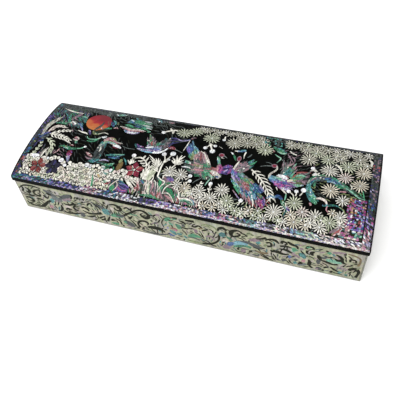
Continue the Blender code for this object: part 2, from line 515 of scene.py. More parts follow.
def rock_cuts(rows):
    """One group for each row of a table. Wide ones are cut into bands of kindred tints."""
    groups = []
    for tint, points, widths in rows:
        lanes = round(max(widths) / ROCK_BAND)
        if lanes < 2 or tint not in KIN:
            groups.append([strip(tint, points, widths)])
        else:
            groups.append(banded([tint] + [rng.choice(KIN[tint]) for _ in range(lanes - 1)], points, widths))
    return groups


def pine(centre, radius, tint, crowd):
    """A pine tuft: needles that spread from one point and end in sharp tips, over a patch of lacquer."""
    count = round(radius * crowd)
    start = rng.uniform(0, 1)
    cuts = [disc("black", centre, radius * 0.86, sides=20, drop=0.01), disc("white", centre, 0.75, sides=7)]
    for index in range(count):
        angle = 2 * math.pi * (index + start + rng.uniform(-0.12, 0.12)) / count
        reach = radius * rng.uniform(0.92, 1.08)
        bend = rng.uniform(-0.04, 0.04)
        root, middle = polar(centre, 0.6, angle), polar(centre, 0.66 * reach, angle)
        widths = [0.15, 1.27 / crowd, 2.36 / crowd, 0.45]
        cuts.append(strip(tint, [root, middle, polar(centre, reach, angle + bend)], widths, 3))
    return cuts


def frond(tint, spine, left, right, pitch, slant, width, stem):
    """A spine with leaves on its two sides, of the given lengths, which get shorter towards its ends."""
    line, _, walked, length = trace(spine, 10)
    count = max(2, int(length * math.sin(slant) / pitch))
    patch = strip("black", spine, [left + right + 1] * 3)
    cuts = [(*patch[:3], 0.02), strip(tint, spine, [stem, stem * 0.85, stem * 0.4])]
    for index in range(count):
        at = (index + 0.5) / count
        spot = min(int(np.searchsorted(walked, at)), len(line) - 2)
        run = line[spot + 1] - line[spot]
        heading = math.atan2(run[1], run[0])
        for side, longest in ((1, left), (-1, right)):
            reach = longest * float(np.interp(at, [0, 0.35, 0.75, 1], [0.7, 1, 1, 0.8]))
            if reach < 0.5:
                continue
            angle = heading + side * slant * (1.15 - 0.55 * at)
            middle = polar(line[spot], reach * 0.55, angle)
            tip = polar(line[spot], reach, angle - side * 0.22)
            cuts.append(strip(tint, [line[spot], middle, tip], [width * 0.7, width * 1.4, width * 0.4], 2))
    return cuts


def fan(tint, base, head, tips, width):
    """Leaves that spread to the given tips, from roots along a short line."""
    cuts = []
    for index, tip in enumerate(tips):
        root = np.array(base) + (np.array(head) - base) * index / len(tips)
        middle = root + (np.array(tip) - root) * 0.6
        cuts.append(strip(tint, [root, middle, tip], [width * 0.6, width, width * 0.35], 2))
    return cuts


def plumes(stages, roots, tips, pitch, gap=0.5):
    """Long feathers side by side from a line of roots to a line of tips, each cut into one length a stage."""
    ends = [trace(points, 8) for points in (roots, tips)]
    count = max(2, round(ends[1][3] / pitch))
    near_width, far_width = (max(length / count * (1 - gap), 0.5) for _, _, _, length in ends)
    cuts = []
    for index in range(count):
        share = (index + 0.5) / count
        root, tip = (
            np.array([np.interp(share, walked, line[:, k]) for k in (0, 1)]) for line, _, walked, _ in ends
        )
        tip = tip + (tip - root) * rng.uniform(-0.08, 0.08)
        stops = [0] + [(k + rng.uniform(-0.3, 0.3)) / len(stages) for k in range(1, len(stages))] + [1]
        for tints, a, b in zip(stages, stops, stops[1:]):
            near, far = root + (tip - root) * (a + 0.01), root + (tip - root) * (b - 0.01)
            widths = [near_width + (far_width - near_width) * k for k in (a, (a + b) / 2, b)]
            if b == 1:
                widths[2] *= 0.4
            cuts.append(strip(rng.choice(tints), [near, (near + far) / 2, far], widths, 2))
    return cuts


def undergrowth(area, tints, turn, pitch, length, width):
    """Short thin cuts scattered over an area, low and dim, as between the larger shapes."""
    groups = []
    low_u, high_u, low_v, high_v = area
    u = low_u
    while u < high_u:
        v = low_v + rng.uniform(0, pitch)
        while v < high_v:
            spot = (u + rng.uniform(-0.8, 0.8), v)
            angle = math.radians(turn + 30 * math.sin(u * 0.21 + v * 0.16) + rng.uniform(-18, 18))
            start, end = polar(spot, length / 2, angle + math.pi - 0.3), polar(spot, length / 2, angle - 0.3)
            groups.append([strip(rng.choice(tints), [start, spot, end], [0.3, width, 0.3], 2)])
            v += pitch * rng.uniform(0.8, 1.3)
        u += pitch
    return groups


def flower(centre, radius, tints, heart, turn):
    """An open flower whose pointed petals are each cut in two halves, with a pale line between them."""
    cuts = []
    for index in range(FLOWER_PETALS):
        angle = turn + 2 * math.pi * index / FLOWER_PETALS
        between = angle + math.pi / FLOWER_PETALS
        root, tip = polar(centre, radius * 0.16, angle), polar(centre, radius, angle)
        for half, side in enumerate((-1, 1)):
            points = [root, polar(centre, radius * 0.6, angle + side * 0.25), tip]
            cuts.append(strip(tints[(2 * index + half) % len(tints)], points, [0.4, radius * 0.32, 0.3], 4))
        line = [polar(centre, radius * 0.24, between), polar(centre, radius * 0.62, between)]
        cuts.append(strip(heart, line, [0.5, 0.6, 0.3], 2))
    cuts.append(disc(heart, centre, radius * 0.12, sides=8))
    return cuts


def berry(centre, radius, foot):
    """A round berry on a stalk."""
    middle = ((centre[0] + foot[0]) / 2 + 0.4, (centre[1] + foot[1]) / 2)
    return [disc("white", centre, radius, sides=12), strip("silver", [centre, middle, foot], [0.8, 0.9, 1.1])]


def mosaic(corners, along, across, pick, gap=0.14, lean=0.0):
    """Small pieces side by side over a four-cornered area, in rows between corners 0-1 and 3-2."""
    a, b, c, d = (np.array(corner, float) for corner in corners)
    columns = max(1, round(np.linalg.norm(b - a) / along))
    rows = max(1, round(np.linalg.norm(d - a) / across))
    grid = {}
    for i in range(columns + 1):
        for j in range(rows + 1):
            s, t = i / columns, j / rows
            if 0 < i < columns:
                s += rng.uniform(-0.34, 0.34) / columns
            if 0 < j < rows:
                t += rng.uniform(-0.3, 0.3) / rows
            s = min(max(s + lean * (t - 0.5) / columns, 0), 1) if 0 < i < columns else s
            grid[i, j] = (a * (1 - s) + b * s) * (1 - t) + (d * (1 - s) + c * s) * t
    cuts = []
    for i in range(columns):
        for j in range(rows):
            piece = np.array([grid[i, j], grid[i + 1, j], grid[i + 1, j + 1], grid[i, j + 1]])
            cuts.append((pick(piece.mean(0)), four_sided(piece, gap, 0.3), [(0, 1, 2, 3)], 0))
    return cuts


# Laying the cuts on the case


def on_lid(u, v, height):
    share = abs(v / 1000) / LID_HALF_WIDTH
    top = LID_EDGE_HEIGHT + LID_CROWN * (1 - share**2) + LID_SHOULDER * (1 - share**SHOULDER_POWER)
    return u / 1000, v / 1000, LID_BASE + top - PICTURE_DEPTH + height / 1000


def lid_edge(w):
    """A point and the outward direction on the rounded edge, w from where the picture's field ends."""
    share = (w - EDGE_FROM_FIELD) / EDGE_LENGTH
    if share < 0:
        return EDGE_START + (w - EDGE_FROM_FIELD, -share * LIP_RISE), LIP_OUTWARD
    point = (1 - share) ** 2 * EDGE_START + 2 * share * (1 - share) * EDGE_BEND + share**2 * EDGE_END
    run = 2 * (1 - share) * (EDGE_BEND - EDGE_START) + 2 * share * (EDGE_END - EDGE_BEND)
    run /= np.linalg.norm(run)
    return point, np.array([-run[1], run[0]])


def on_front_edge(u, w, height):
    point, out = lid_edge(w)
    y, z = point + out * height
    return u / 1000, -y / 1000, LID_BASE + z / 1000


def on_back_edge(u, w, height):
    x, y, z = on_front_edge(u, w, height)
    return x, -y, z


def on_right_edge(w, v, height):
    """Over the small rounding at the lid's end, w from where the picture's field ends."""
    z = on_lid(0, v, 0)[2] * 1000 + PICTURE_DEPTH * 1000
    turn = min(max((w - END_ROUNDING) / END_ROUNDING, 0), math.pi / 2)
    reach = END_ROUNDING + height
    x = FIELD_END + min(w, END_ROUNDING) + reach * math.sin(turn)
    return x / 1000, v / 1000, (z - END_ROUNDING + reach * math.cos(turn)) / 1000


def on_left_edge(w, v, height):
    x, y, z = on_right_edge(w, v, height)
    return -x, y, z


def on_front(u, v, height):
    return u / 1000, -SIDE_Y - height / 1000, v / 1000


def on_back(u, v, height):
    return -u / 1000, SIDE_Y + height / 1000, v / 1000


def on_right(u, v, height):
    return SIDE_X + height / 1000, u / 1000, v / 1000


def on_left(u, v, height):
    return -SIDE_X - height / 1000, -u / 1000, v / 1000


def lay(name, groups, surface, low=LOW, high=HIGH, stacked=False):
    """One piece from groups of cuts. The cuts of a group share a height, so that groups can overlap."""
    form = bmesh.new()
    used_tints_and_edge_highlight = []
    for index, cuts in enumerate(groups):
        share = index % STACK_LEVELS / (STACK_LEVELS - 1) if stacked else index * SPREAD_STEP % 1
        height = low + (high - low) * share
        for tint, points, faces, drop in cuts:
            if tint not in used_tints_and_edge_highlight:
                used_tints_and_edge_highlight.append(tint)
            corners = [form.verts.new((x, y, height - drop)) for x, y in points]
            for face in faces:
                made = form.faces.new([corners[k] for k in face])
                made.material_index = used_tints_and_edge_highlight.index(tint)
                made.normal_update()
                if made.normal.z < 0:
                    made.normal_flip()
    rims = [edge for edge in form.edges if edge.is_boundary]
    for item in bmesh.ops.extrude_edge_only(form, edges=rims)["geom"]:
        if isinstance(item, bmesh.types.BMVert):
            item.co.z = 0
    bmesh.ops.recalc_face_normals(form, faces=form.faces)
    for vertex in form.verts:
        vertex.co = surface(*vertex.co)
    mesh = bpy.data.meshes.new(name)
    form.to_mesh(mesh)
    form.free()
    for tint in used_tints_and_edge_highlight:
        mesh.materials.append(MATERIALS[tint])
    mesh.shade_smooth()
    mesh.set_sharp_from_angle(angle=math.radians(SMOOTH_ANGLE))
    item = bpy.data.objects.new(name, mesh)
    bpy.context.scene.collection.objects.link(item)
    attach(item, "root")


MATERIALS = {name: shell_material(name + "_shell", colours) for name, colours in TINTS.items()}
MATERIALS["ink"] = shell_material("ink_line", TINTS["ink"], 0.02)
MATERIALS["sun"] = sun_material()
MATERIALS["black"] = lacquer_material("inlay_lacquer")

veneer = veneer_material()
for name in ("front_shell_panel", "back_shell_panel", "left_shell_panel", "right_shell_panel"):
    nodes[name].material_slots[0].material = veneer
nodes["lid"].material_slots[0].material = lacquer_material("lid_lacquer")
# The box's lacquer, with the painted highlight on its outer edges
nodes["case_body"].material_slots[0].material = lacquer_material("box_lacquer", True)

# Border of small abalone pieces, whose colours drift along the lid. A zone is where it ends along its
# side, and its tints

FRONT_ZONES = [
    (-150, ["blue", "teal", "green", "slate", "violet"]),
    (-118, ["blue", "violet", "teal", "lilac", "slate"]),
    (-94, ["violet", "blue", "indigo", "lilac"]),
    (-74, ["pink", "rose", "magenta", "lilac", "mauve"]),
    (-56, ["teal", "blue", "slate", "lilac"]),
    (-34, ["lilac", "white", "slate", "mauve"]),
    (-19, ["indigo", "violet", "slate", "navy"]),
    (2, ["lilac", "pink", "white", "violet"]),
    (24, ["pink", "lilac", "rose", "mauve"]),
    (36, ["violet", "blue", "lilac"]),
    (50, ["magenta", "pink", "lilac"]),
    (60, ["pink", "teal", "rose"]),
    (75, ["teal", "sky", "teal", "blue"]),
    (89, ["lilac", "violet", "lilac"]),
    (97, ["rose", "pink", "silver"]),
    (105, ["blue", "sky", "lilac"]),
    (113, ["teal", "green", "sky"]),
    (124, ["leafy", "mint", "leafy"]),
    (134, ["mauve", "teal", "rose"]),
    (170, ["pink", "rose", "magenta", "pink", "lilac", "white"]),
]
RIGHT_ZONES = [
    (-38, ["pink", "white", "lilac", "mauve"]),
    (-26, ["lilac", "magenta", "sky", "violet"]),
    (-4, ["blue", "teal", "slate", "mauve", "indigo"]),
    (8, ["mauve", "slate", "dusk", "lilac"]),
    (26, ["dusk", "slate", "mauve"]),
    (35, ["red", "dusk", "mauve"]),
    (60, ["dusk", "slate", "dusk", "mauve"]),
]
LEFT_ZONES = [
    (-30, ["slate", "mauve", "indigo", "red", "dusk"]),
    (-18, ["teal", "slate", "blue"]),
    (-2, ["olive", "dusk", "slate", "blue"]),
    (30, ["violet", "indigo", "slate", "dusk"]),
    (60, ["dusk", "slate", "teal"]),
]
BACK_ZONES = [(-60, ["dusk", "grey", "slate"]), (170, ["dusk", "ink", "slate", "dusk"])]


def zone(zones, value):
    """A tint for a place along a side: a dark one, a white one on the front, or one of its zone's."""
    chance = rng.random()
    if chance < (0.44 if value > 50 or zones is not FRONT_ZONES else 0.38):
        return rng.choice(["ink", "dusk", "slate", "indigo"])
    if chance > 0.96 and zones is FRONT_ZONES:
        return "white"
    for end, tints in zones:
        if value < end + rng.uniform(-2.5, 2.5):
            return rng.choice(tints)
    return rng.choice(zones[-1][1])


outer = [(-FIELD_U, -FIELD_V), (FIELD_U, -FIELD_V), (FIELD_U, FIELD_V), (-FIELD_U, FIELD_V)]
inner = [
    (INNER_LEFT, INNER_FRONT),
    (INNER_RIGHT, INNER_FRONT),
    (INNER_RIGHT, INNER_BACK),
    (INNER_LEFT, INNER_BACK),
]
# Each side's zones, the axis they run along, the length and width of its pieces, and their lean
BORDER = [
    (FRONT_ZONES, 0, 1.7, 1.5, 0.5),
    (RIGHT_ZONES, 1, 1.5, 2.0, 1.2),
    (BACK_ZONES, 0, 1.7, 1.5, 1.0),
    (LEFT_ZONES, 1, 1.6, 1.8, 1.2),
]
border = []
for side, (zones, axis, along, across, lean) in enumerate(BORDER):
    following = (side + 1) % 4
    corners = (outer[side], outer[following], inner[following], inner[side])
    border.append(mosaic(corners, along, across, lambda p: zone(zones, p[axis]), BORDER_GAP, lean))
lay("border_mosaic", border, on_lid, 0.1, 0.16)


def bright_edge(u):
    """The front edge's pale outer line, which grows brighter towards the right."""
    if rng.random() < 0.4 + u / 400:
        return rng.choice(["white", "silver", "lilac", "pink", "rose"])
    return zone(FRONT_ZONES, u)


def edge_strip(half, depth, along, pick, upright=False):
    """Four rows of fine pieces over a rounded edge, to a depth from where the picture's field ends."""
    corners = ((-half, 0.06), (half, 0.06), (half, depth), (-half, depth))
    sizes = (along, depth / 4)
    if upright:
        corners = tuple((w, u) for u, w in corners)
        sizes = (depth / 4, along)
    return [mosaic(corners, *sizes, pick, EDGE_GAP)]


front_edge = edge_strip(165, 1.9, 1.6, lambda p: bright_edge(p[0]))
lay("front_edge_mosaic", front_edge, on_front_edge, 0.032, 0.034)
back_edge = edge_strip(165, 1.2, 1.8, lambda p: zone(BACK_ZONES, p[0]))
lay("back_edge_mosaic", back_edge, on_back_edge, 0.032, 0.034)
right_edge = edge_strip(53, 1.3, 1.6, lambda p: zone(RIGHT_ZONES, p[1]), True)
lay("right_edge_mosaic", right_edge, on_right_edge, 0.02, 0.022)
left_edge = edge_strip(53, 1.3, 1.6, lambda p: zone(LEFT_ZONES, p[1]), True)
lay("left_edge_mosaic", left_edge, on_left_edge, 0.02, 0.022)


def patch_tint(point):
    """Tints that drift over the corner patch in soft areas."""
    wave = math.sin(point[0] * 0.55 + point[1] * 0.21) + math.sin(point[1] * 0.47 - point[0] * 0.3)
    chance = rng.random()
    if chance < 0.32:
        tints = ["ink", "slate", "mauve", "ink"]
    elif point[1] < -40:
        tints = ["white", "rose", "pink", "teal", "mint", "magenta"]
    elif chance > 0.84:
        tints = ["white", "sky", "lilac"]
    elif wave > 0.7:
        tints = ["pink", "gold", "red"]
    elif wave > -0.8:
        tints = ["magenta", "violet", "magenta"]
    else:
        tints = ["violet", "blue", "magenta"]
    return rng.choice(tints)


patch = [
    mosaic(((142, -9), (157.6, -10), (157.6, -30), (143, -30)), 1.7, 1.4, patch_tint),
    mosaic(((143, -30), (157.6, -30), (157.6, -47.8), (135, -47.8)), 1.4, 1.7, patch_tint),
]
lay("corner_mosaic", patch, on_lid, 0.08, 0.1)

# Sun, clouds and distant foliage. Every row of such a table is a tint and the points of a line, as
# (u, v, width). The widths are spread evenly from end to end

sun = [
    [disc("sun", (-108.3, 29.5), 13.2, 12.6, sides=40)],
    [strip("dusk", [(-103, 31), (-103.5, 26), (-106, 21), (-108.5, 15)], [1.2, 2.6, 2, 0.8])],
]
lay("sun", sun, on_lid, 0.09, 0.13)

CLOUDS = [
    ("dusk", (-158, 47, 2), (-140, 48, 4), (-120, 46, 3.4), (-100, 46.5, 1.6)),
    ("dusk", (-157, 43, 2), (-140, 44.5, 3.4), (-122, 42.5, 1.6)),
    ("slate", (-156, 33, 2), (-152, 37, 5), (-145, 40, 2)),
    ("dusk", (-157, 29, 1.6), (-155, 24, 3), (-154, 19, 1)),
    ("silver", (-155, 43.5, 0.8), (-148, 41, 1.8), (-140, 39.5, 1.5), (-131, 39.5, 0.6)),
    ("mauve", (-138, 25.5, 2), (-136, 32, 4.6), (-132.5, 37.5, 2)),
    ("teal", (-131, 30, 1.6), (-127, 32, 4.4), (-123.5, 29, 3.6), (-121.5, 25, 1.6)),
    ("mint", (-130, 33.5, 1), (-126.5, 34.5, 1.6), (-123, 32.5, 0.8)),
    ("green", (-143.5, 36, 0.8), (-142, 30, 2.6), (-139.5, 25, 3.6), (-138, 21, 2)),
    ("green", (-152, 18, 1.4), (-146, 19.6, 3.4), (-139.5, 19.6, 4)),
    ("grey", (-138, 22, 2.4), (-133, 23, 3.6), (-128, 21.5, 2)),
    ("blue", (-129, 23, 1.6), (-124.5, 21, 2.8), (-121, 16.5, 1.4)),
    ("white", (-136, 24.5, 0.8), (-133, 22.5, 1.5), (-131, 20, 0.8)),
    ("slate", (-134, 18, 1.2), (-128, 18.5, 2.6), (-123, 15.5, 1.4)),
    ("lilac", (-124, 18.5, 0.8), (-121, 16, 1.6), (-119, 13, 0.8)),
    ("silver", (-124, 13, 0.6), (-119, 11.5, 1.2), (-114.5, 11, 2), (-111.5, 9.5, 0.6)),
    ("violet", (-113, 16, 1.6), (-110.5, 13, 2.4), (-108.5, 9, 0.8)),
    ("olive", (-108, 16, 1.4), (-105.5, 12.5, 4), (-102, 12.5, 3), (-98, 14, 0.8)),
    ("green", (-101, 17.5, 0.8), (-96, 21.3, 2.4), (-91, 23.5, 1)),
    ("ink", (-107, 14.8, 1.6), (-103, 16.4, 3.6), (-98, 18.6, 3.6), (-93, 21.4, 1.2)),
    ("dusk", (-106, 18, 2.2), (-104.4, 22, 3.4), (-102.8, 27, 2)),
    ("pink", (-103, 23.6, 1), (-101, 21, 2.8), (-99.4, 19, 1.2)),
    ("green", (-100, 20.4, 1), (-95.6, 22.6, 3), (-91, 24, 1)),
    ("wine", (-99.8, 34, 0.8), (-97.8, 29.6, 2.2), (-95, 25.6, 0.9)),
    ("blue", (-96.5, 34, 1.4), (-93.5, 30.5, 4.4), (-90.5, 26.5, 1.6)),
    ("teal", (-95, 36, 1), (-92, 34, 2.2), (-90, 30, 1.2)),
    ("olive", (-89.5, 35, 1.2), (-87.5, 30.5, 2.4)),
    ("mint", (-95, 45.5, 1.6), (-90, 48, 4.4), (-85.5, 48, 1.6)),
    ("white", (-96.5, 48, 0.8), (-94, 45.5, 1.6)),
    ("dusk", (-84, 48, 2), (-78, 49, 3), (-66, 47, 3), (-56, 48, 2)),
    ("teal", (-75, 47, 1.4), (-71, 44.5, 3), (-67, 44, 1.4)),
    ("blue", (-80, 36.5, 1.6), (-77, 39, 5), (-73.5, 41.5, 2)),
    ("sky", (-79, 41.5, 1.4), (-76, 41, 2.8), (-73.5, 38.5, 1.4)),
    ("emerald", (-74, 39.6, 3), (-68, 40.6, 5.4), (-62.5, 39.6, 4.4), (-56, 38.4, 0.8)),
    ("jade", (-71, 41, 0.9), (-65.6, 39.4, 2.6), (-60.6, 38.2, 0.9)),
    ("jade", (-81, 32.4, 1), (-76.6, 32.6, 3.2), (-71, 31.2, 1.6)),
    ("blue", (-70.6, 33, 1.4), (-67, 32.6, 3), (-63, 32, 1.2)),
    ("jade", (-63, 31.8, 1.2), (-58.5, 31.2, 3), (-54, 29.2, 0.8)),
    ("emerald", (-79, 30, 0.6), (-70, 30, 1.2), (-60, 29.8, 0.8)),
    ("silver", (-85, 29, 0.8), (-78, 28.3, 1.8), (-72, 26.6, 2.6), (-65, 28.2, 2.2), (-56, 27.6, 0.8)),
    ("pink", (-82, 27.3, 0.6), (-77, 26.3, 1.4), (-71, 24.8, 1.8), (-64, 26.3, 1.4), (-58, 26.3, 0.6)),
    ("lilac", (-78.5, 25, 1), (-75, 22.8, 3.6), (-70.5, 22.3, 4.2), (-66, 22.6, 3.6), (-61.5, 24.4, 1)),
    ("white", (-73, 22, 0.8), (-69, 22.2, 1.6), (-65, 22.4, 0.8)),
    ("pink", (-90, 24, 0.8), (-87, 25.6, 2.6), (-84.5, 24.6, 0.8)),
    ("green", (-55, 28, 3.6), (-53, 28, 4), (-51.6, 27, 2)),
    ("teal", (-54, 51, 1.6), (-50, 50, 3), (-46, 46, 1)),
    ("white", (-50, 48, 1.4), (-48.5, 46.5, 2)),
    ("mauve", (-41, 49, 1.6), (-37, 48.5, 3), (-33, 49, 1.2)),
    ("dusk", (-48, 44, 2), (-38, 45, 3.4), (-28, 43, 1.6)),
    ("dusk", (-50, 39, 1), (-44, 40.5, 2), (-38, 39.5, 1)),
    ("mint", (-111, 7, 0.5), (-108, 4, 0.8), (-104, 4.2, 0.9), (-100, 5, 1.2), (-96.5, 7, 0.6)),
    ("green", (-108.5, 1.4, 0.5), (-104, 1, 1.8), (-100, 3, 2.2), (-98, 5.6, 0.8)),
    ("white", (-96, 9.4, 0.8), (-93.5, 9.2, 2.6), (-91, 11, 0.8)),
    ("silver", (-101, 12.4, 0.4), (-96, 15.6, 0.9), (-91, 14.6, 0.5)),
    ("silver", (-100, 5, 0.6), (-98, 6.4, 1.6), (-96.5, 8.6, 0.8)),
]
haze = []
for index in range(HAZE_CUTS):
    u = HAZE_LEFT + index * HAZE_STEP
    deep = 44 + 3.4 * math.sin(u * 0.13) + rng.uniform(-1.5, 1.5)
    tint = rng.choice(["dusk", "dusk", "slate", "grey"])
    cut = [(u, HAZE_TOP), (u + 0.5, (HAZE_TOP + deep) / 2), (u + 1.6, deep)]
    haze.append([strip(tint, cut, [0.9, 1.1, 0.5], 2)])
    if index % 3 == 0:
        tail = [(u, deep - 1), (u + 1.5, deep - 3.6), (u + 2, deep - 6.5)]
        haze.append([strip("dusk", tail, [0.6, 1.1, 0.4], 2)])
lay("haze", haze, on_lid, 0.03, 0.06)
lay("clouds", bird_cuts(drawn(CLOUDS)), on_lid)

# Areas of undergrowth: from left to right and front to back, tints, direction, spacing, length, width
UNDERGROWTH = [
    ((-158, -122, 17, 45), ["dusk", "slate", "dusk", "green", "mauve", "teal", "indigo"], -30, 2.4, 6, 1.2),
    ((-158, -149, -28, 17), ["slate", "violet", "indigo", "blue", "grey"], 60, 2.2, 5, 1.3),
    ((-148, -124, -26, 16), ["dusk", "mauve", "slate", "dusk"], -35, 3.2, 5, 0.8),
    ((-122, -62, -25, 12), ["dusk", "ink", "dusk"], -25, 5, 6, 0.7),
    ((-100, -12, 26, 45), ["dusk", "dusk", "slate", "ink"], -15, 4.2, 6, 0.9),
    ((-66, 20, -47, -31), ["mauve", "pink", "dusk", "green", "grey", "silver", "olive"], 115, 2.2, 5, 1.2),
    ((-22, 2, -30, -18), ["dusk", "grey", "olive"], 100, 3, 4, 1),
    ((26, 140, -47, -32), ["grey", "dusk", "olive", "leafy"], 70, 3.2, 4, 0.9),
    ((82, 110, 12, 36), ["dusk", "mauve", "dusk"], 70, 3.8, 5, 0.7),
    ((112, 157, -16, 34), ["dusk", "slate", "olive"], 20, 3.6, 5, 0.8),
]
growth = [group for row in UNDERGROWTH for group in undergrowth(*row)]
lay("undergrowth", growth, on_lid, 0.02, 0.042)

TREE = [
    ("green", (69, 37, 2), (74, 33.5, 5), (82, 29.6, 4)),
    ("mint", (74, 30.5, 0.6), (79, 28.8, 1.8), (82.5, 30, 1.2)),
    ("teal", (70, 36.5, 0.8), (75, 35.5, 1.4), (80, 34, 0.8)),
    ("pink", (69, 31.5, 1), (70.5, 30, 2.4), (72, 29.5, 1)),
    ("mint", (73, 26, 0.6), (76, 23.8, 1.2), (79, 21.6, 1), (76.5, 15.5, 0.5)),
    ("grey", (79, 21.6, 0.5), (82.5, 18, 0.8), (83, 12, 0.7), (81, 8, 0.4)),
    ("mint", (76, 41, 0.7), (75.5, 38, 0.7)),
    ("mauve", (84, 29, 0.6), (88, 23, 1.2), (90, 20, 0.5)),
    ("silver", (85, 34, 1), (88, 31.5, 1.6), (92, 30, 1)),
    ("blue", (38.5, 21.6, 2), (42, 23, 3.2), (46.5, 24.6, 2)),
    ("silver", (36, 21.6, 0.8), (39, 21.8, 1.8), (41, 22, 0.8)),
    ("silver", (46.5, 22.5, 1.4), (46, 18, 1), (46.6, 13.5, 0.4)),
    ("grey", (52.5, 21, 0.5), (51, 17.5, 1.2), (49.5, 15.5, 0.4)),
    ("mauve", (88, 27, 0.6), (91, 24, 1.2), (92, 20, 0.5)),
]
leaves = []
for index in range(TREE_LEAVES):
    spot = (rng.uniform(*TREE_U), rng.uniform(*TREE_V))
    turn = rng.uniform(0, math.pi)
    tint = rng.choice(["dusk", "green", "dusk", "teal", "slate", "dusk"])
    leaf = [spot, polar(spot, 1.4, turn), polar(spot, 2.8, turn + 0.3)]
    leaves.append([strip(tint, leaf, [0.4, 1.6, 0.4], 2)])
lay("distant_tree", leaves + bird_cuts(drawn(TREE)), on_lid)

# Cranes, and other birds and branches among them

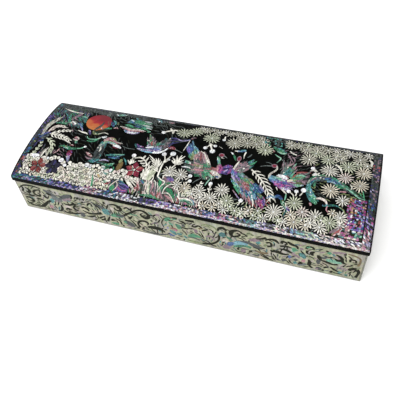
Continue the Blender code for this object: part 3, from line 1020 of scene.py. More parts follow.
FLOCK = [
    # small crane at the left
    ("green", (-133, -12, 0.8), (-128, -10.8, 3), (-123, -12, 4.2), (-117, -11.8, 3), (-112.5, -10.6, 1.4)),
    ("mint", (-128, -12.5, 1), (-125, -12, 2.4), (-122, -12.6, 1)),
    ("mint", (-113, -10.8, 1.3), (-110, -9.8, 1.1), (-107, -7.6, 0.9)),
    ("pink", (-118.5, -8.6, 1.6), (-120, -7.6, 2.4), (-123, -8.4, 1)),
    ("green", (-117.5, -5, 2), (-118.5, -2.5, 3.2), (-118.5, 0, 2)),
    ("pink", (-117.5, 0, 2.4), (-119.5, 2, 4.8), (-122.5, 3.4, 1.6)),
    ("rose", (-118, -0.5, 1), (-120.5, -0.6, 1.6), (-123, 0.4, 0.6)),
    ("magenta", (-118.5, -14.5, 3.6), (-118.4, -18, 6), (-117, -21.6, 3.4)),
    ("lilac", (-118.6, -21, 4), (-116.8, -24.6, 3.2), (-115.6, -29, 0.7)),
    ("pink", (-130.6, -15, 1), (-132, -18.6, 1.2), (-134.4, -22, 0.5)),
    ("mauve", (-134, -17, 0.6), (-135.5, -20, 0.8), (-137.5, -22, 0.4)),
    # crane with an arched wing
    ("pink", (-92, 5, 1.4), (-88, 8.2, 4.2), (-84, 9.2, 4.2), (-80, 6.6, 3.4), (-77, 4, 2)),
    ("olive", (-86, 10, 0.6), (-82, 9.6, 1.4), (-79, 7.4, 0.6)),
    ("mint", (-91.6, -1, 1.8), (-89, 3.6, 3), (-84, 4.2, 3), (-79.6, 3.6, 2.4), (-76, 2, 1)),
    ("white", (-80, 0.8, 1.4), (-75.6, 1, 3.4), (-71, -0.8, 1.4)),
    ("crimson", (-80, -1, 0.5), (-77, -1.4, 0.9), (-74, -2, 0.5)),
    ("grey", (-91, 1, 1.8), (-92.4, -3.6, 3.6), (-92, -9.4, 1.4)),
    ("silver", (-91, -3, 0.6), (-90, -7, 1.6), (-90.6, -9.6, 0.6)),
    ("slate", (-88, -10, 1.4), (-87.4, -15, 3), (-89.6, -19, 2.4)),
    ("teal", (-96, -23, 1.8), (-91, -21.6, 3.8), (-86, -18.6, 1.8)),
    ("pink", (-102.6, -12.8, 1), (-98.6, -15, 3.4), (-94.4, -17.4, 1.6)),
    ("mauve", (-101, -18.4, 0.8), (-97, -20, 1.8), (-93, -19.6, 0.8)),
    ("lilac", (-85.6, -20, 0.6), (-81, -18, 1.4), (-76, -18.6, 0.6)),
    ("teal", (-82.4, -12.6, 0.8), (-77, -11, 3), (-71, -10.6, 4), (-63.6, -8, 1)),
    ("blue", (-79, -14, 0.8), (-73.5, -14, 2.6), (-67, -13, 1.4)),
    ("mint", (-75, -9.8, 0.5), (-69.6, -8.8, 1), (-64.6, -7.6, 0.5)),
    # crane flying to the right at the middle
    ("grey", (-71, 2.4, 0.4), (-65, 0.8, 0.8), (-57, 1, 0.5)),
    ("teal", (-59.6, 8, 1.4), (-57.6, 6, 2.8), (-56.6, 3.6, 1)),
    ("violet", (-58, 8.6, 0.8), (-54, 5.6, 3.2), (-49, 5, 2.4)),
    ("lilac", (-56, 3, 1), (-50, 2, 3.4), (-44, 2.6, 4), (-38, 4.4, 4.8), (-31.6, 6, 3)),
    ("sky", (-50.6, 0.9, 0.8), (-44, 0.6, 2), (-37.6, 1, 0.8)),
    ("blue", (-42.6, 5.6, 1.6), (-38, 6.6, 4), (-33, 6.6, 2.4)),
    ("white", (-47.6, 5.6, 1), (-44, 7, 2), (-40, 8.4, 0.8)),
    ("white", (-39, 0.8, 1.6), (-33, 2.4, 2.4), (-29, 5.6, 1.9), (-26.4, 9.6, 1.3)),
    ("red", (-26.6, 9.8, 2), (-23, 11.4, 4.8), (-18.6, 10, 1.2)),
    ("grey", (-19, 9.8, 0.8), (-15, 8.6, 0.6), (-11, 7, 0.3)),
    ("grey", (-44.6, 8, 2.2), (-47, 14, 3.4), (-50.6, 17, 1)),
    ("olive", (-45, 12, 2), (-47, 19, 3.6), (-50.4, 24.6, 1)),
    ("grey", (-43, 10, 1.6), (-44.6, 17, 2.4), (-47, 23, 0.8)),
    ("red", (-42.6, 9.6, 1), (-44, 12.6, 2.2), (-44.6, 15.6, 0.8)),
    ("mauve", (-40.6, 10, 1.6), (-41.4, 13, 2.4), (-41.4, 16, 0.8)),
    ("green", (-38.6, 10.6, 1.6), (-37.6, 13.4, 3.4), (-36, 16, 1)),
    ("slate", (-36, 10, 2.4), (-33, 17, 5), (-32, 23, 2)),
    ("grey", (-32, 12.6, 2), (-29.6, 18, 3.6), (-28, 24.6, 1.6)),
    ("mauve", (-32.6, 9, 1.6), (-30, 12, 2.8), (-28, 15, 1)),
    ("indigo", (-29, 24, 1.6), (-24, 24.4, 3), (-19, 23, 2.6), (-13, 24.6, 2), (-9, 27, 0.8)),
    ("lilac", (-22, 25, 0.5), (-17, 22.8, 1.2), (-12, 24.4, 1), (-9, 26.4, 0.5)),
    ("indigo", (-26.6, 12, 2), (-25, 16, 2.6), (-23.4, 20, 1)),
    ("mauve", (-9, 27.6, 1.4), (-6.4, 30, 2.6), (-4.4, 30.4, 1)),
    ("silver", (-9.2, 25.6, 0.6), (-9.8, 18, 0.9), (-11, 10, 0.4)),
    # crane landing at the middle
    ("sky", (-6.6, 26, 0.8), (-4, 19.6, 2.2), (0, 16, 2.6), (4.6, 12, 0.8)),
    ("blue", (-7.4, 21, 1), (-4.6, 15, 3), (-2.6, 8.6, 1.6)),
    ("violet", (-8.4, 17, 0.8), (-6, 13, 2.2), (-4.6, 9, 0.8)),
    ("mint", (-0.6, 14.6, 1.6), (2, 11.6, 4), (3.6, 8, 1.6)),
    ("olive", (-1.4, 13, 1.4), (-1, 9, 2.6), (0.6, 4.6, 1)),
    ("pink", (5.6, 13, 2.2), (4.6, 8, 5.4), (2.6, 2.6, 2.6)),
    ("red", (6.4, 11, 0.6), (7.6, 6, 1.2), (9, 1, 0.6)),
    ("mauve", (8, 11.6, 1), (11, 5.6, 2.8), (14.6, -2, 1.6)),
    ("silver", (5.4, 13.4, 0.6), (9.4, 11.4, 1.1), (12.4, 7, 1.6), (17, -2.4, 1)),
    ("green", (13.6, 2, 0.8), (17, -1.4, 2.4), (20.6, -4, 0.8)),
    ("grey", (-4.6, -6.6, 1.2), (3, -8, 4.6), (12, -7.4, 3.6)),
    ("mint", (-5, -2, 2.4), (-2, -3, 3.4), (1.6, -3.8, 1.4)),
    ("white", (-6, -9.4, 0.7), (-2, -8.6, 1.4), (2, -8.8, 0.6)),
    ("olive", (3, -4, 1.2), (8.6, -5, 3), (13.6, -6, 2)),
    ("pink", (6, -9, 0.6), (11, -9.6, 2), (15, -9, 1)),
    ("mauve", (3, -11.6, 1), (9, -13, 3), (15, -14.6, 1.4)),
    ("green", (15, -10, 4), (17, -14, 5), (19, -19, 0.8)),
    ("red", (15, -5.4, 1), (19.6, -6.6, 2.4), (25, -4, 1.4)),
    ("silver", (21.6, -8, 2.4), (26.6, -10.6, 5.6), (31.6, -14, 3.4)),
    ("mint", (20, -11, 1.6), (23, -14, 2.8), (26, -15.6, 1)),
    ("blue", (27, -13, 1.2), (30, -13.6, 2)),
    ("magenta", (26.8, 2, 2), (28.4, -3, 5.8), (29.8, -9.6, 2)),
    ("pink", (25.6, -0.6, 1), (26.8, -4, 2), (27.4, -7, 1)),
    ("mint", (22.8, 10.4, 1.4), (24.2, 6.4, 1.8), (26.8, 1.6, 2.6)),
    ("grey", (28.4, 12.6, 0.9), (31.6, 10.6, 0.4)),
    ("silver", (26, 9.8, 1), (29, 9.6, 0.4)),
    ("mint", (23.6, -16.6, 0.8), (22, -21, 1.1), (21, -25, 0.6)),
    ("grey", (15.6, -18, 0.6), (11.4, -22, 0.8), (9.4, -25, 0.4)),
    # crane with a wide tail
    ("white", (33, 19, 0.6), (34.4, 18, 1.6), (36, 16.6, 0.9)),
    ("green", (35.6, 17, 1), (38, 13.6, 2.4), (40.4, 8.6, 0.8)),
    ("silver", (43.4, 9, 1.2), (42.2, 4.4, 1.7), (41, -1.4, 2)),
    ("mauve", (42.6, -1.6, 2), (46, 4.6, 6.4), (51, 9.4, 3.4)),
    ("grey", (44, -3, 1.6), (49, 1, 5), (55, 7, 2.4)),
    ("teal", (51.6, 9.6, 1.6), (54.4, 12, 3), (56.6, 15, 1)),
    ("green", (53, 7, 1), (56, 9, 2.2), (58.6, 13, 0.8)),
    ("violet", (31, -0.6, 1.6), (35, 0.8, 4), (39.4, 1.4, 2)),
    ("indigo", (31, -3.4, 1.4), (35, -2.8, 3.2), (38.6, -4.4, 1.6)),
    ("lilac", (33, -7, 0.8), (34.6, -4.6, 1.8), (36, -3, 0.8)),
    ("magenta", (37, -1, 1.4), (38.4, -5, 2.8), (37, -8, 0.8)),
    ("blue", (40, -2, 2), (41.6, -6, 3.6), (44, -9, 1.6)),
    ("violet", (43, -5, 2.4), (46, -9, 5), (48.8, -13.6, 2)),
    ("lilac", (41, -9, 1), (44, -12, 2), (47, -14.6, 0.8)),
    ("mint", (41, -12.6, 1), (46, -17, 3.6), (50.6, -21, 3.6), (53.6, -24.6, 1)),
    ("green", (46, -20, 0.8), (50, -23.6, 2), (52.6, -27, 0.6)),
    ("mauve", (46, -24, 0.6), (50, -28, 1.2), (52, -31, 0.5)),
    ("lilac", (49.6, -27.6, 0.9), (53.6, -31.4, 0.6)),
    ("green", (50, -9.6, 1.6), (55, -11.6, 4), (60, -15.6, 2.4)),
    ("olive", (52.6, -8.6, 1), (58, -9.6, 2.6), (63, -13, 1.4)),
    ("red", (53, -13.6, 2.4), (57.6, -17.6, 4.8), (60, -23, 2.4)),
    ("mauve", (51, -15, 1), (54.6, -20, 2.8), (57.6, -25, 1.2)),
    ("teal", (58.6, -14, 1.6), (61.6, -19, 3), (63, -23, 1.6)),
    ("blue", (62, -12.6, 2.4), (66, -17.6, 7), (71, -22, 4)),
    ("lilac", (67, -13.6, 1), (70.4, -17, 2.6), (73, -20, 1)),
    ("sky", (59.6, -22.4, 2.4), (64, -25.6, 5.6), (68.6, -29, 1.6)),
    ("olive", (68, -22, 1.6), (71, -25, 3), (74, -27, 1.4)),
    ("magenta", (69.6, -28.6, 4), (73, -32, 6), (75, -37, 1.6)),
    ("violet", (72.6, -25, 1.6), (75, -29, 3), (76, -33, 1)),
    ("mauve", (56, -25, 0.9), (59, -30, 1.2), (60.6, -34, 0.5)),
    ("pink", (60.6, -27, 0.9), (63, -31, 1.2), (63.4, -35, 0.5)),
    ("silver", (64.6, -29, 0.9), (66.4, -33, 1.1), (66.8, -37, 0.5)),
    ("mauve", (68, -30, 0.9), (70, -35, 1.1), (71, -39, 0.5)),
    # crane turned to the left
    ("grey", (72.6, 10.4, 1), (68, 9.6, 0.8), (63, 7.6, 0.3)),
    ("grey", (72.6, 12.6, 0.7), (70, 14, 0.6), (67, 14, 0.3)),
    ("silver", (77.6, 11.6, 1.2), (78.4, 7.6, 1.7), (75.6, 3.4, 1.9), (73.4, 0, 2), (74, -4.6, 2.6)),
    ("sky", (73, -3, 2.4), (77, -5.6, 5), (82, -7, 3)),
    ("mint", (76.6, -1.6, 1), (83, -3, 3.4), (88.6, -4.6, 1.6)),
    ("violet", (76, -7, 1.6), (82, -7.6, 5), (89, -8, 6.4), (96, -8, 1.6)),
    ("magenta", (79, -9.6, 2), (84, -9.8, 5), (88.6, -10, 2.6)),
    ("blue", (85, -5, 1), (90, -7, 2.4), (94, -7, 1)),
    ("white", (80.6, 1.4, 1.6), (84.6, 0.4, 4.4), (89.6, -1.6, 2)),
    ("pink", (85, 1.6, 1), (88, 0.6, 2.6), (90, -1.6, 1)),
    ("lilac", (86, -11.6, 1), (90, -12.8, 3), (93.6, -10.6, 1)),
    ("silver", (86.6, -13.4, 1.2), (90.4, -16.4, 1.6), (92, -18, 0.6)),
    ("silver", (81.6, -12.6, 1.6), (83, -15.6, 1.3), (82.2, -18.4, 0.7)),
    ("grey", (83, 2.6, 2.4), (85, 9, 5), (87, 17, 1.8)),
    ("teal", (86, 2, 2.4), (89, 7, 6), (90.4, 12, 2)),
    ("green", (90.4, 2, 1.4), (92.6, 5, 2.6), (93.6, 9, 0.8)),
    ("pink", (85.6, 13, 1), (88.4, 15.6, 2.4), (91, 18.4, 0.8)),
    ("mint", (91.6, 14, 0.6), (93, 17, 1), (93.6, 19, 0.5)),
    ("green", (91.6, -1.6, 2), (96.6, 2, 7), (103.6, 5, 3)),
    ("mint", (96, 3, 1), (100, 5.6, 2), (104.6, 5, 0.8)),
    ("red", (95.6, 7.6, 1.6), (101, 9.4, 1.6), (108, 10.4, 0.7)),
    ("grey", (103, 7, 1), (105.6, 9.6, 1.6), (107.6, 12.6, 0.7)),
    ("red", (93.4, 1, 0.9), (94.6, 4, 1.5), (97, 6.6, 0.9)),
    ("cream", (89.6, -4, 1.4), (92, -2.6, 3), (94, -1.4, 1)),
    ("mint", (95, -6, 1.6), (99.6, -6.6, 3.2), (104.4, -5, 0.8)),
    ("mauve", (102, -1.6, 2), (105, -2, 1.6)),
    # crane at the right, with a long arched tail
    ("grey", (107, -3, 1), (108.4, 1.4, 2.2), (112.6, 5, 2.6)),
    ("grey", (110, 4, 1.6), (116, 6.6, 4), (122, 7.6, 2.6)),
    ("slate", (113, 2.6, 1), (118, 4.6, 2.6), (124, 5, 1.4)),
    ("blue", (119.6, 6, 1.6), (125.6, 7, 4.4), (131.6, 3.6, 2)),
    ("sky", (122.6, 3.6, 1), (127, 4.4, 1.8), (131, 2, 1)),
    ("teal", (126, 8.4, 0.8), (131, 6, 2.8), (134.6, 2, 1.6)),
    ("green", (129, 1.6, 2), (135, 0.6, 4.8), (141, 1, 1.2)),
    ("slate", (137, -2, 2), (143.6, -3.6, 3.6), (149, -7, 1.2)),
    ("mint", (139, 0, 0.8), (145, -3.6, 1.4), (150, -7.6, 1.2), (155.6, -9, 0.6)),
    ("green", (152.6, 0.6, 0.6), (153.8, -4, 1), (155, -8.6, 0.6)),
    ("green", (150, -2, 0.5), (152, -5, 0.9), (154.6, -7, 0.5)),
    ("pink", (134.6, -4.8, 0.8), (139.6, -4, 1.4)),
    ("green", (113.6, 1, 1.2), (112.8, -3.4, 2.4), (114.6, -6, 0.8)),
    ("teal", (108.6, -1, 2.6), (108.8, -8, 4), (110.6, -14, 4)),
    ("sky", (111, -7, 1.2), (111.8, -12, 2.4), (113.6, -15, 1.6)),
    ("mint", (110.6, -14, 2.4), (114, -14.6, 3.8), (117, -16.4, 1)),
    ("green", (111, -15.6, 3), (114.6, -19, 5.6), (118, -22.4, 1.6)),
    ("teal", (109, -12, 2), (110.6, -17, 3), (113, -20.6, 1)),
    ("rose", (116.6, -16.6, 1.2), (120, -15.8, 2.3), (124, -17, 2.4), (126.4, -20.6, 0.9)),
    ("teal", (122.6, -22.6, 1.4), (128, -21, 2.8), (133, -20, 1.5), (137.6, -21.6, 1.2), (141, -24.6, 0.7)),
    ("olive", (136, -20.6, 0.6), (140, -23, 1.1), (142, -27, 0.6)),
    ("green", (131.6, -24, 1.2), (133, -26, 3), (134.4, -28.6, 1.2)),
    ("pink", (126.8, -22, 0.8), (126.6, -26, 1.1), (130, -29, 0.5)),
    ("pink", (112.6, -22, 1.8), (113.6, -24.6, 1.6)),
    # curved branch
    ("sky", (76.4, -26, 1.4), (79, -23.4, 2.8), (83, -23.8, 2)),
    ("blue", (81.6, -24, 1.8), (86, -21.6, 3.8), (89.6, -24.6, 2.4)),
    ("green", (88.6, -24, 2), (91, -28, 3.4), (93, -31.4, 1.8)),
    ("teal", (92, -30, 1.6), (94.8, -34, 2.4), (93.6, -39.4, 0.8)),
    ("mint", (91.6, -17.6, 0.7), (91.8, -21, 1.3), (91.6, -24.4, 0.7)),
    ("silver", (79.4, -25.6, 0.8), (77, -30.6, 0.4)),
    ("violet", (95, -29.6, 1.6), (96, -32, 3.6), (97.6, -34, 1.6)),
]
# Wings and tails: the tints of each stage from root to tip, the two lines, and the feathers' spacing
FEATHERS = [
    ([["blue", "indigo"], ["sky", "blue", "violet"]], [(1, 9), (-3, 5)], [(-5.6, 26), (-10, 20), (-9, 13)],
     1.5),
    ([["green", "olive"], ["teal", "mint", "green"]], [(4, 5), (0, 0)], [(-1, 15), (-4, 10), (-4, 4)], 1.6),
    ([["mauve", "grey"], ["rose", "pink", "mauve"]], [(16, -4), (4, -5)],
     [(12, 10), (8, 13.4), (3, 13), (0, 5)], 1.5),
    ([["green", "mauve"], ["rose", "silver"], ["mauve", "rose"]], [(21, -4), (14, -5)],
     [(15, 6), (11, 12), (7, 13.4)], 1.5),
    ([["red", "mauve"], ["green", "mauve", "slate"], ["pink", "grey", "mauve"], ["green", "grey", "slate"]],
     [(28, -4), (29, -8), (27, -12)], [(-6, 0), (-6, -8), (2, -13), (9, -18)], 1.6),
    ([["mauve", "green"], ["green", "grey", "slate"], ["silver", "grey"]], [(17, -5), (28, -6)],
     [(13, -17), (20, -19), (28, -16), (33, -11)], 1.7),
    ([["mint", "green"], ["mint", "green"]], [(29.4, 0), (25.4, -1)], [(24.6, 11), (22.4, 10)], 1.2),
    ([["violet", "magenta"], ["violet", "indigo"]], [(25, -3), (27, -9)], [(39, 3), (41, -2), (38, -9)], 1.5),
    ([["mauve", "grey"], ["mauve", "pink", "grey"], ["slate", "teal"]], [(42, -3), (48, -5)],
     [(44, 7), (50, 12), (57, 11), (56, 3)], 1.5),
    ([["violet", "magenta"], ["violet", "green", "lilac"], ["olive", "grey", "mauve"],
     ["pink", "mauve", "green", "slate"], ["blue", "teal", "indigo"], ["teal", "mauve", "sky"],
     ["red", "mauve", "slate"]], [(37, -1), (43, 0)], [(50, -25), (58, -31), (67, -36), (75, -36), (79, -29),
     (76, -19)], 1.7),
    ([["blue", "teal", "sky"], ["violet", "magenta", "blue"], ["magenta", "lilac"]], [(72.6, 0), (73.6, -5)],
     [(97, -3), (98, -9), (91, -15), (84, -13)], 1.5),
    ([["rose", "white"], ["pink", "white"]], [(79, 1), (80, -2)], [(90, 3), (91, -1)], 1.4),
    ([["teal", "slate"], ["green", "mauve", "dusk"], ["pink", "mauve", "dusk"]], [(85, 3), (92, 1)],
     [(82, 15), (86, 20), (92, 19), (96, 11)], 1.6),
    ([["olive", "green"], ["olive", "grey", "mauve"], ["mauve", "slate"]], [(91, 1), (94, -5)],
     [(99, 10), (107, 9), (108, 2), (106, -4)], 1.6),
    ([["lilac", "grey"], ["green", "mauve", "slate"], ["slate", "mauve", "dusk"]], [(-46, 5), (-32, 5)],
     [(-52, 20), (-45, 22), (-38, 16), (-30, 24), (-25, 15)], 1.7),
    ([["indigo", "slate"], ["slate", "dusk"]], [(-32, 20), (-28, 14)], [(-12, 27), (-12, 23)], 1.3),
    ([["pink", "red"], ["rose", "pink", "silver"]], [(-92, 4), (-91, 8)], [(-76, 1), (-72, 6)], 1.4),
    ([["teal", "grey"], ["slate", "grey"], ["dusk", "slate"]], [(-93, 4), (-87, 3)],
     [(-95, -14), (-91, -20), (-85, -17)], 1.5),
    ([["slate", "teal"], ["teal", "dusk"]], [(-97, -18), (-96, -24)], [(-76, -17), (-80, -24)], 1.4),
    ([["green", "blue"], ["green", "teal", "mint"], ["mint", "green", "white"]], [(-79, 43), (-78, 36)],
     [(-56, 44), (-51, 31)], 2),
]
# The long arched tail at the right: tints side by side, points and widths, and the gap between bands
TAIL = [
    (
        ["slate", "teal", "blue", "grey", "green"],
        [(108.6, -4), (112, 4), (121, 7.6), (131, 4.6), (141, -1), (153, -8)],
        [4, 7.4, 8, 7, 5, 2],
        0.5,
    ),
    (["teal", "mint", "green", "teal"], [(108, 2), (108.4, -6), (111, -13), (118, -20)], [2, 4.4, 7, 4], 0.4),
]
feathers = [plumes(*row) for row in FEATHERS] + [banded(*row) for row in TAIL]
lay("feathers", feathers, on_lid, 0.045, 0.066)

# Red crowns of the three larger cranes, with their two radii
CROWNS = [((25.8, 13), 2.7, 2.5), ((75.4, 11.2), 2.7, 2.3), ((42.6, 12.4), 2.0, 3.4)]
cranes = bird_cuts(drawn(FLOCK))
for spot, wide, tall in CROWNS:
    rim = disc("mauve", spot, wide, tall, sides=14, drop=0.004)
    cranes.append([rim, disc("crimson", spot, wide * 0.74, tall * 0.7, sides=12)])
cranes.append([disc("white", (-106.4, -7), 1.5, 1.1, 0.4, 10)])
lay("cranes", cranes, on_lid, 0.07, 0.17, True)

# Pines, with the place and radius of each tuft

BACK_TUFTS = [
    (-3, 47, 4), (8, 47.4, 4), (20, 47.4, 4.2), (32, 47.6, 4.2), (44, 47.6, 4), (56, 47, 4), (82, 47.4, 4),
    (100, 47.6, 4), (113, 47.6, 4), (125, 47, 4.4), (133, 47.4, 4), (145, 46, 4.6), (131, 34, 6),
    (145, 31, 6), (126, 36, 5.6), (108, 37, 5.4), (-18.5, 35, 7.6), (-7.5, 40, 7.4), (2, 45, 5.6),
    (10, 34, 8), (14, 45, 5.6), (26, 45.4, 5), (33, 32, 8.4), (38, 43, 6.6), (44.5, 35, 7.6),
    (50, 44.5, 5.6), (53, 36, 7), (63, 29.6, 8.2), (58.6, 41, 6.4), (85, 43, 6.6), (93, 44.5, 6),
    (99, 40, 6.6), (103.6, 27, 8.2), (108, 44, 6), (112, 37, 6.6), (118, 44.6, 5.6), (120, 31, 7.4),
    (123, 17, 7.8), (129, 41, 7), (138, 44, 6), (138, 25.6, 7.4), (147, 38, 7), (154, 45.6, 4.6),
    (151.6, 20.4, 7.8), (153.6, 31, 4.8), (137, 11.6, 7), (150, 5.4, 7.2), (127, -5.6, 8), (138, -14, 6),
]
FRONT_TUFTS = [
    (-15, -17.5, 6.8), (-4, -18.5, 6.6), (4, -32, 6.8), (17.6, -31.6, 6), (37, -26.4, 7), (29, -36.4, 6.6),
    (43.6, -36, 6.6), (12, -36, 5), (33, -44.4, 4.6), (43, -44.8, 4.6), (53, -43.6, 5), (60, -44.4, 4.8),
    (69, -44.4, 4.6), (85, -37.6, 8), (78, -45, 4.6), (94, -44.8, 4.6), (100, -25.4, 7.2), (108, -32.4, 6),
    (103, -43, 6.4), (112.6, -43.6, 5.6), (119, -34.4, 7), (124, -43, 6), (131, -37.6, 6.8),
    (138.4, -31, 6.6), (132, -28, 4), (-4, -30, 5), (25, -45, 4.6), (20, -38, 4.4), (8, -36, 4),
    (64, -41, 4.6), (72, -39.6, 4), (139, -38, 4.6), (74, -45.6, 3.6), (90, -44, 4), (99, -37, 5),
    (124, -36.6, 5), (109, -40, 5), (116, -41, 4.6), (128, -45.4, 3.6), (94, -31, 4.4), (38, -40, 4.6),
    (48, -40.6, 4.4), (58, -45.6, 4),
]
ROSE_TUFTS = ((137, 11.6), (108, -32.4))


def pines(tufts):
    groups = []
    for u, v, radius in tufts:
        # Back tufts get the dimmed straw tint and sparser needles, painted shade for the lid's less-lit back
        if v > FAR_V:
            tints, crowd = ["straw", "silver", "straw", "leafy"], FAR_CROWD
        else:
            tints, crowd = ["silver", "silver", "silver", "leafy", "cream"], NEAR_CROWD
        tint = rng.choice(tints)
        groups.append(pine((u, v), radius, "rose" if (u, v) in ROSE_TUFTS else tint, crowd))
    return groups


lay("back_pines", pines(BACK_TUFTS), on_lid, 0.1, 0.19)
lay("front_pines", pines(FRONT_TUFTS), on_lid, 0.1, 0.19)

# Pale plants, berries and blossom

# Fronds: spine, longest leaf on each side, leaf spacing, slant, leaf width and stem width
SPRAYS = [
    ("rose", [(-153, 4), (-151.6, 11), (-147, 15), (-140, 15.6)], 1.0, 7.0, 2.6, 0.9, 1.0, 1.6),
    ("silver", [(-149, 3), (-143, 6), (-137, 9), (-131, 10)], 4.0, 3.4, 2.6, 0.8, 1.0, 1.0),
    ("silver", [(-150, 1.6), (-141, 1.4), (-133, 0.2), (-126, -2.6)], 4.4, 7.4, 2.5, 0.85, 1.05, 1.2),
    ("leafy", [(-151, -4.6), (-144.6, -7), (-140, -12), (-138.4, -20)], 5.4, 7.0, 2.6, 0.7, 1.05, 1.2),
    ("leafy", [(-155, -28), (-154, -22), (-152.6, -16), (-153, -11)], 3.4, 4.0, 2.6, 0.8, 1.0, 1.0),
    ("silver", [(56.6, 2), (64, -4), (71.6, -12.6), (80, -25)], 8.6, 6.4, 3.1, 0.85, 0.95, 1.4),
    ("silver", [(-35, -25), (-35.6, -20), (-35, -15.6)], 4.0, 4.0, 2.5, 0.75, 1.1, 1.0),
    ("leafy", [(-30, -25), (-31, -20), (-31.4, -16.4)], 3.6, 3.6, 2.5, 0.75, 1.1, 1.0),
    ("silver", [(-39, -30), (-38, -25), (-37, -19)], 4.4, 4.4, 2.5, 0.75, 1.1, 1.0),
    ("leafy", [(-31, -30.6), (-30.4, -25), (-30, -20)], 4.4, 4.4, 2.5, 0.75, 1.1, 1.0),
    ("silver", [(15.6, -29.6), (15.4, -27), (16, -25), (17.6, -22.6)], 3.0, 3.0, 2.2, 0.9, 0.9, 0.9),
    ("silver", [(26, -31), (26, -28), (25.6, -25), (25.4, -23)], 3.0, 3.0, 2.2, 0.9, 0.9, 0.9),
]
# Fans of leaves: where their roots begin and end, their tips, and leaf width
FANS = [
    ("silver", (-25.6, -20), (-29, -10), [(-33, -17), (-34, -14), (-34.6, -11.6), (-36, -9), (-38, -6.8)],
     1.3),
    ("silver", (-27, -14), (-30, -9.6), [(-26, -7.4), (-28.4, -5.6), (-30.6, -4.4), (-33, -5), (-40.4, -2.8)],
     1.4),
    ("silver", (-25.6, -20), (-28, -12), [(-30.6, -15.4), (-32, -12.4), (-33, -9.4)], 1.2),
    ("silver", (-36.6, -31), (-33.4, -31), [(-40, -20), (-38, -18.4), (-36, -17.6), (-34, -17.4),
     (-32, -17.6)], 1.5),
    ("leafy", (-33, -31), (-29.6, -31), [(-33, -19.4), (-31, -18.4), (-29, -18.6), (-27.4, -20)], 1.5),
    ("silver", (-54, -17.6), (-54, -16), [(-58.4, -13.2), (-56, -12), (-52.4, -11.4), (-50, -13)], 1.7),
    ("silver", (-12.4, -6), (-11, -1), [(-17.6, -0.8), (-14.4, 2.6), (-10, 4.2), (-6.8, 3.8), (-8.4, 0.2)],
     1.5),
]
# Broad leaves cut in bands: the bands' tints, points and widths
LEAVES = [
    (["silver", "leafy", "silver", "cream"], [(-157.6, -1), (-158, 11), (-154, 21.6), (-149, 29.4)],
     [2.4, 5, 4.4, 1.6]),
    (["silver", "mauve", "silver"], [(-146, -29), (-145.4, -22), (-143, -15.6)], [2.4, 2.6, 0.9]),
    (["silver", "cream"], [(-144.6, -19), (-141.6, -22), (-139, -27)], [1.2, 2.4, 1.2]),
]
STEMS = [
    ("silver", (-38, -18, 1.2), (-39.4, -13.4, 1.1), (-42.4, -10, 1.1), (-47.4, -7.6, 1.7),
     (-52.4, -9.4, 0.9)),
    ("silver", (-41, -11.6, 0.9), (-40.6, -8.6, 1.5), (-39.8, -5.4, 0.7)),
    ("silver", (-44.4, -9.2, 0.9), (-44.2, -6.8, 1.9), (-43.6, -4.4, 1.1)),
    ("silver", (-38.4, -16.6, 0.9), (-37.6, -13.4, 1.6), (-36.8, -9.8, 0.8)),
    ("silver", (-43, -10, 0.9), (-45.4, -11.6, 1.5), (-48.4, -12, 0.7)),
    ("silver", (-40.2, -12.6, 0.9), (-42.4, -14, 1.7), (-45.2, -14, 0.9)),
    ("silver", (-39, -15.6, 0.8), (-40.6, -16.6, 1.4), (-42.4, -16.4, 0.8)),
    ("silver", (-54.4, -9, 0.9), (-54.6, -12, 1.2), (-54, -16, 0.9)),
    ("silver", (-23.6, -4, 1), (-24.4, -12, 1.6), (-24.4, -19, 1.6), (-24, -25, 1.4)),
    ("silver", (-145, -28, 1.6), (-144.4, -22, 1.6), (-142, -16, 0.8)),
    ("silver", (-37, 32, 1.6), (-33.6, 34, 1.8), (-29, 36.6, 1.8), (-25.6, 37, 1.4)),
    ("silver", (-33.6, 38.6, 1.4), (-32.6, 36.6, 2.2), (-31, 34.6, 1.2)),
    ("silver", (-29.4, 36.4, 1.2), (-29.4, 33.4, 2.4), (-29, 31, 1.2)),
    ("silver", (10.8, 26, 2), (12.4, 22.6, 1.6), (14.6, 18, 1.2)),
    ("silver", (11.4, 24, 1), (9.6, 21, 0.9), (8.4, 19.6, 0.8)),
    ("silver", (22, 40, 1), (22, 37, 1.2), (22, 34.6, 1.4)),
    ("silver", (22, -31, 0.9), (24.6, -36, 1.2), (22, -40, 1), (21, -43.6, 1), (23.4, -48, 0.7)),
    ("silver", (127, 26, 2), (131, 23, 2), (133.6, 17, 0.9)),
    ("silver", (154.6, 40, 1), (157, 37, 2.4), (157, 32, 0.9)),
    ("silver", (142, 5, 0.8), (143.6, 2, 1), (143, -1, 0.5)),
    ("silver", (112, 12, 0.8), (109.6, 14, 1), (107, 13, 0.6)),
    ("silver", (116, 9, 0.8), (112, 10, 1), (109.6, 8, 1.6)),
    ("silver", (20, 24, 0.3), (24, 22, 0.3)),
    ("mint", (-51, -21, 0.5), (-49, -24, 0.8)),
    ("white", (-147, -27.6, 2), (-150, -27, 3), (-155, -28, 3)),
]
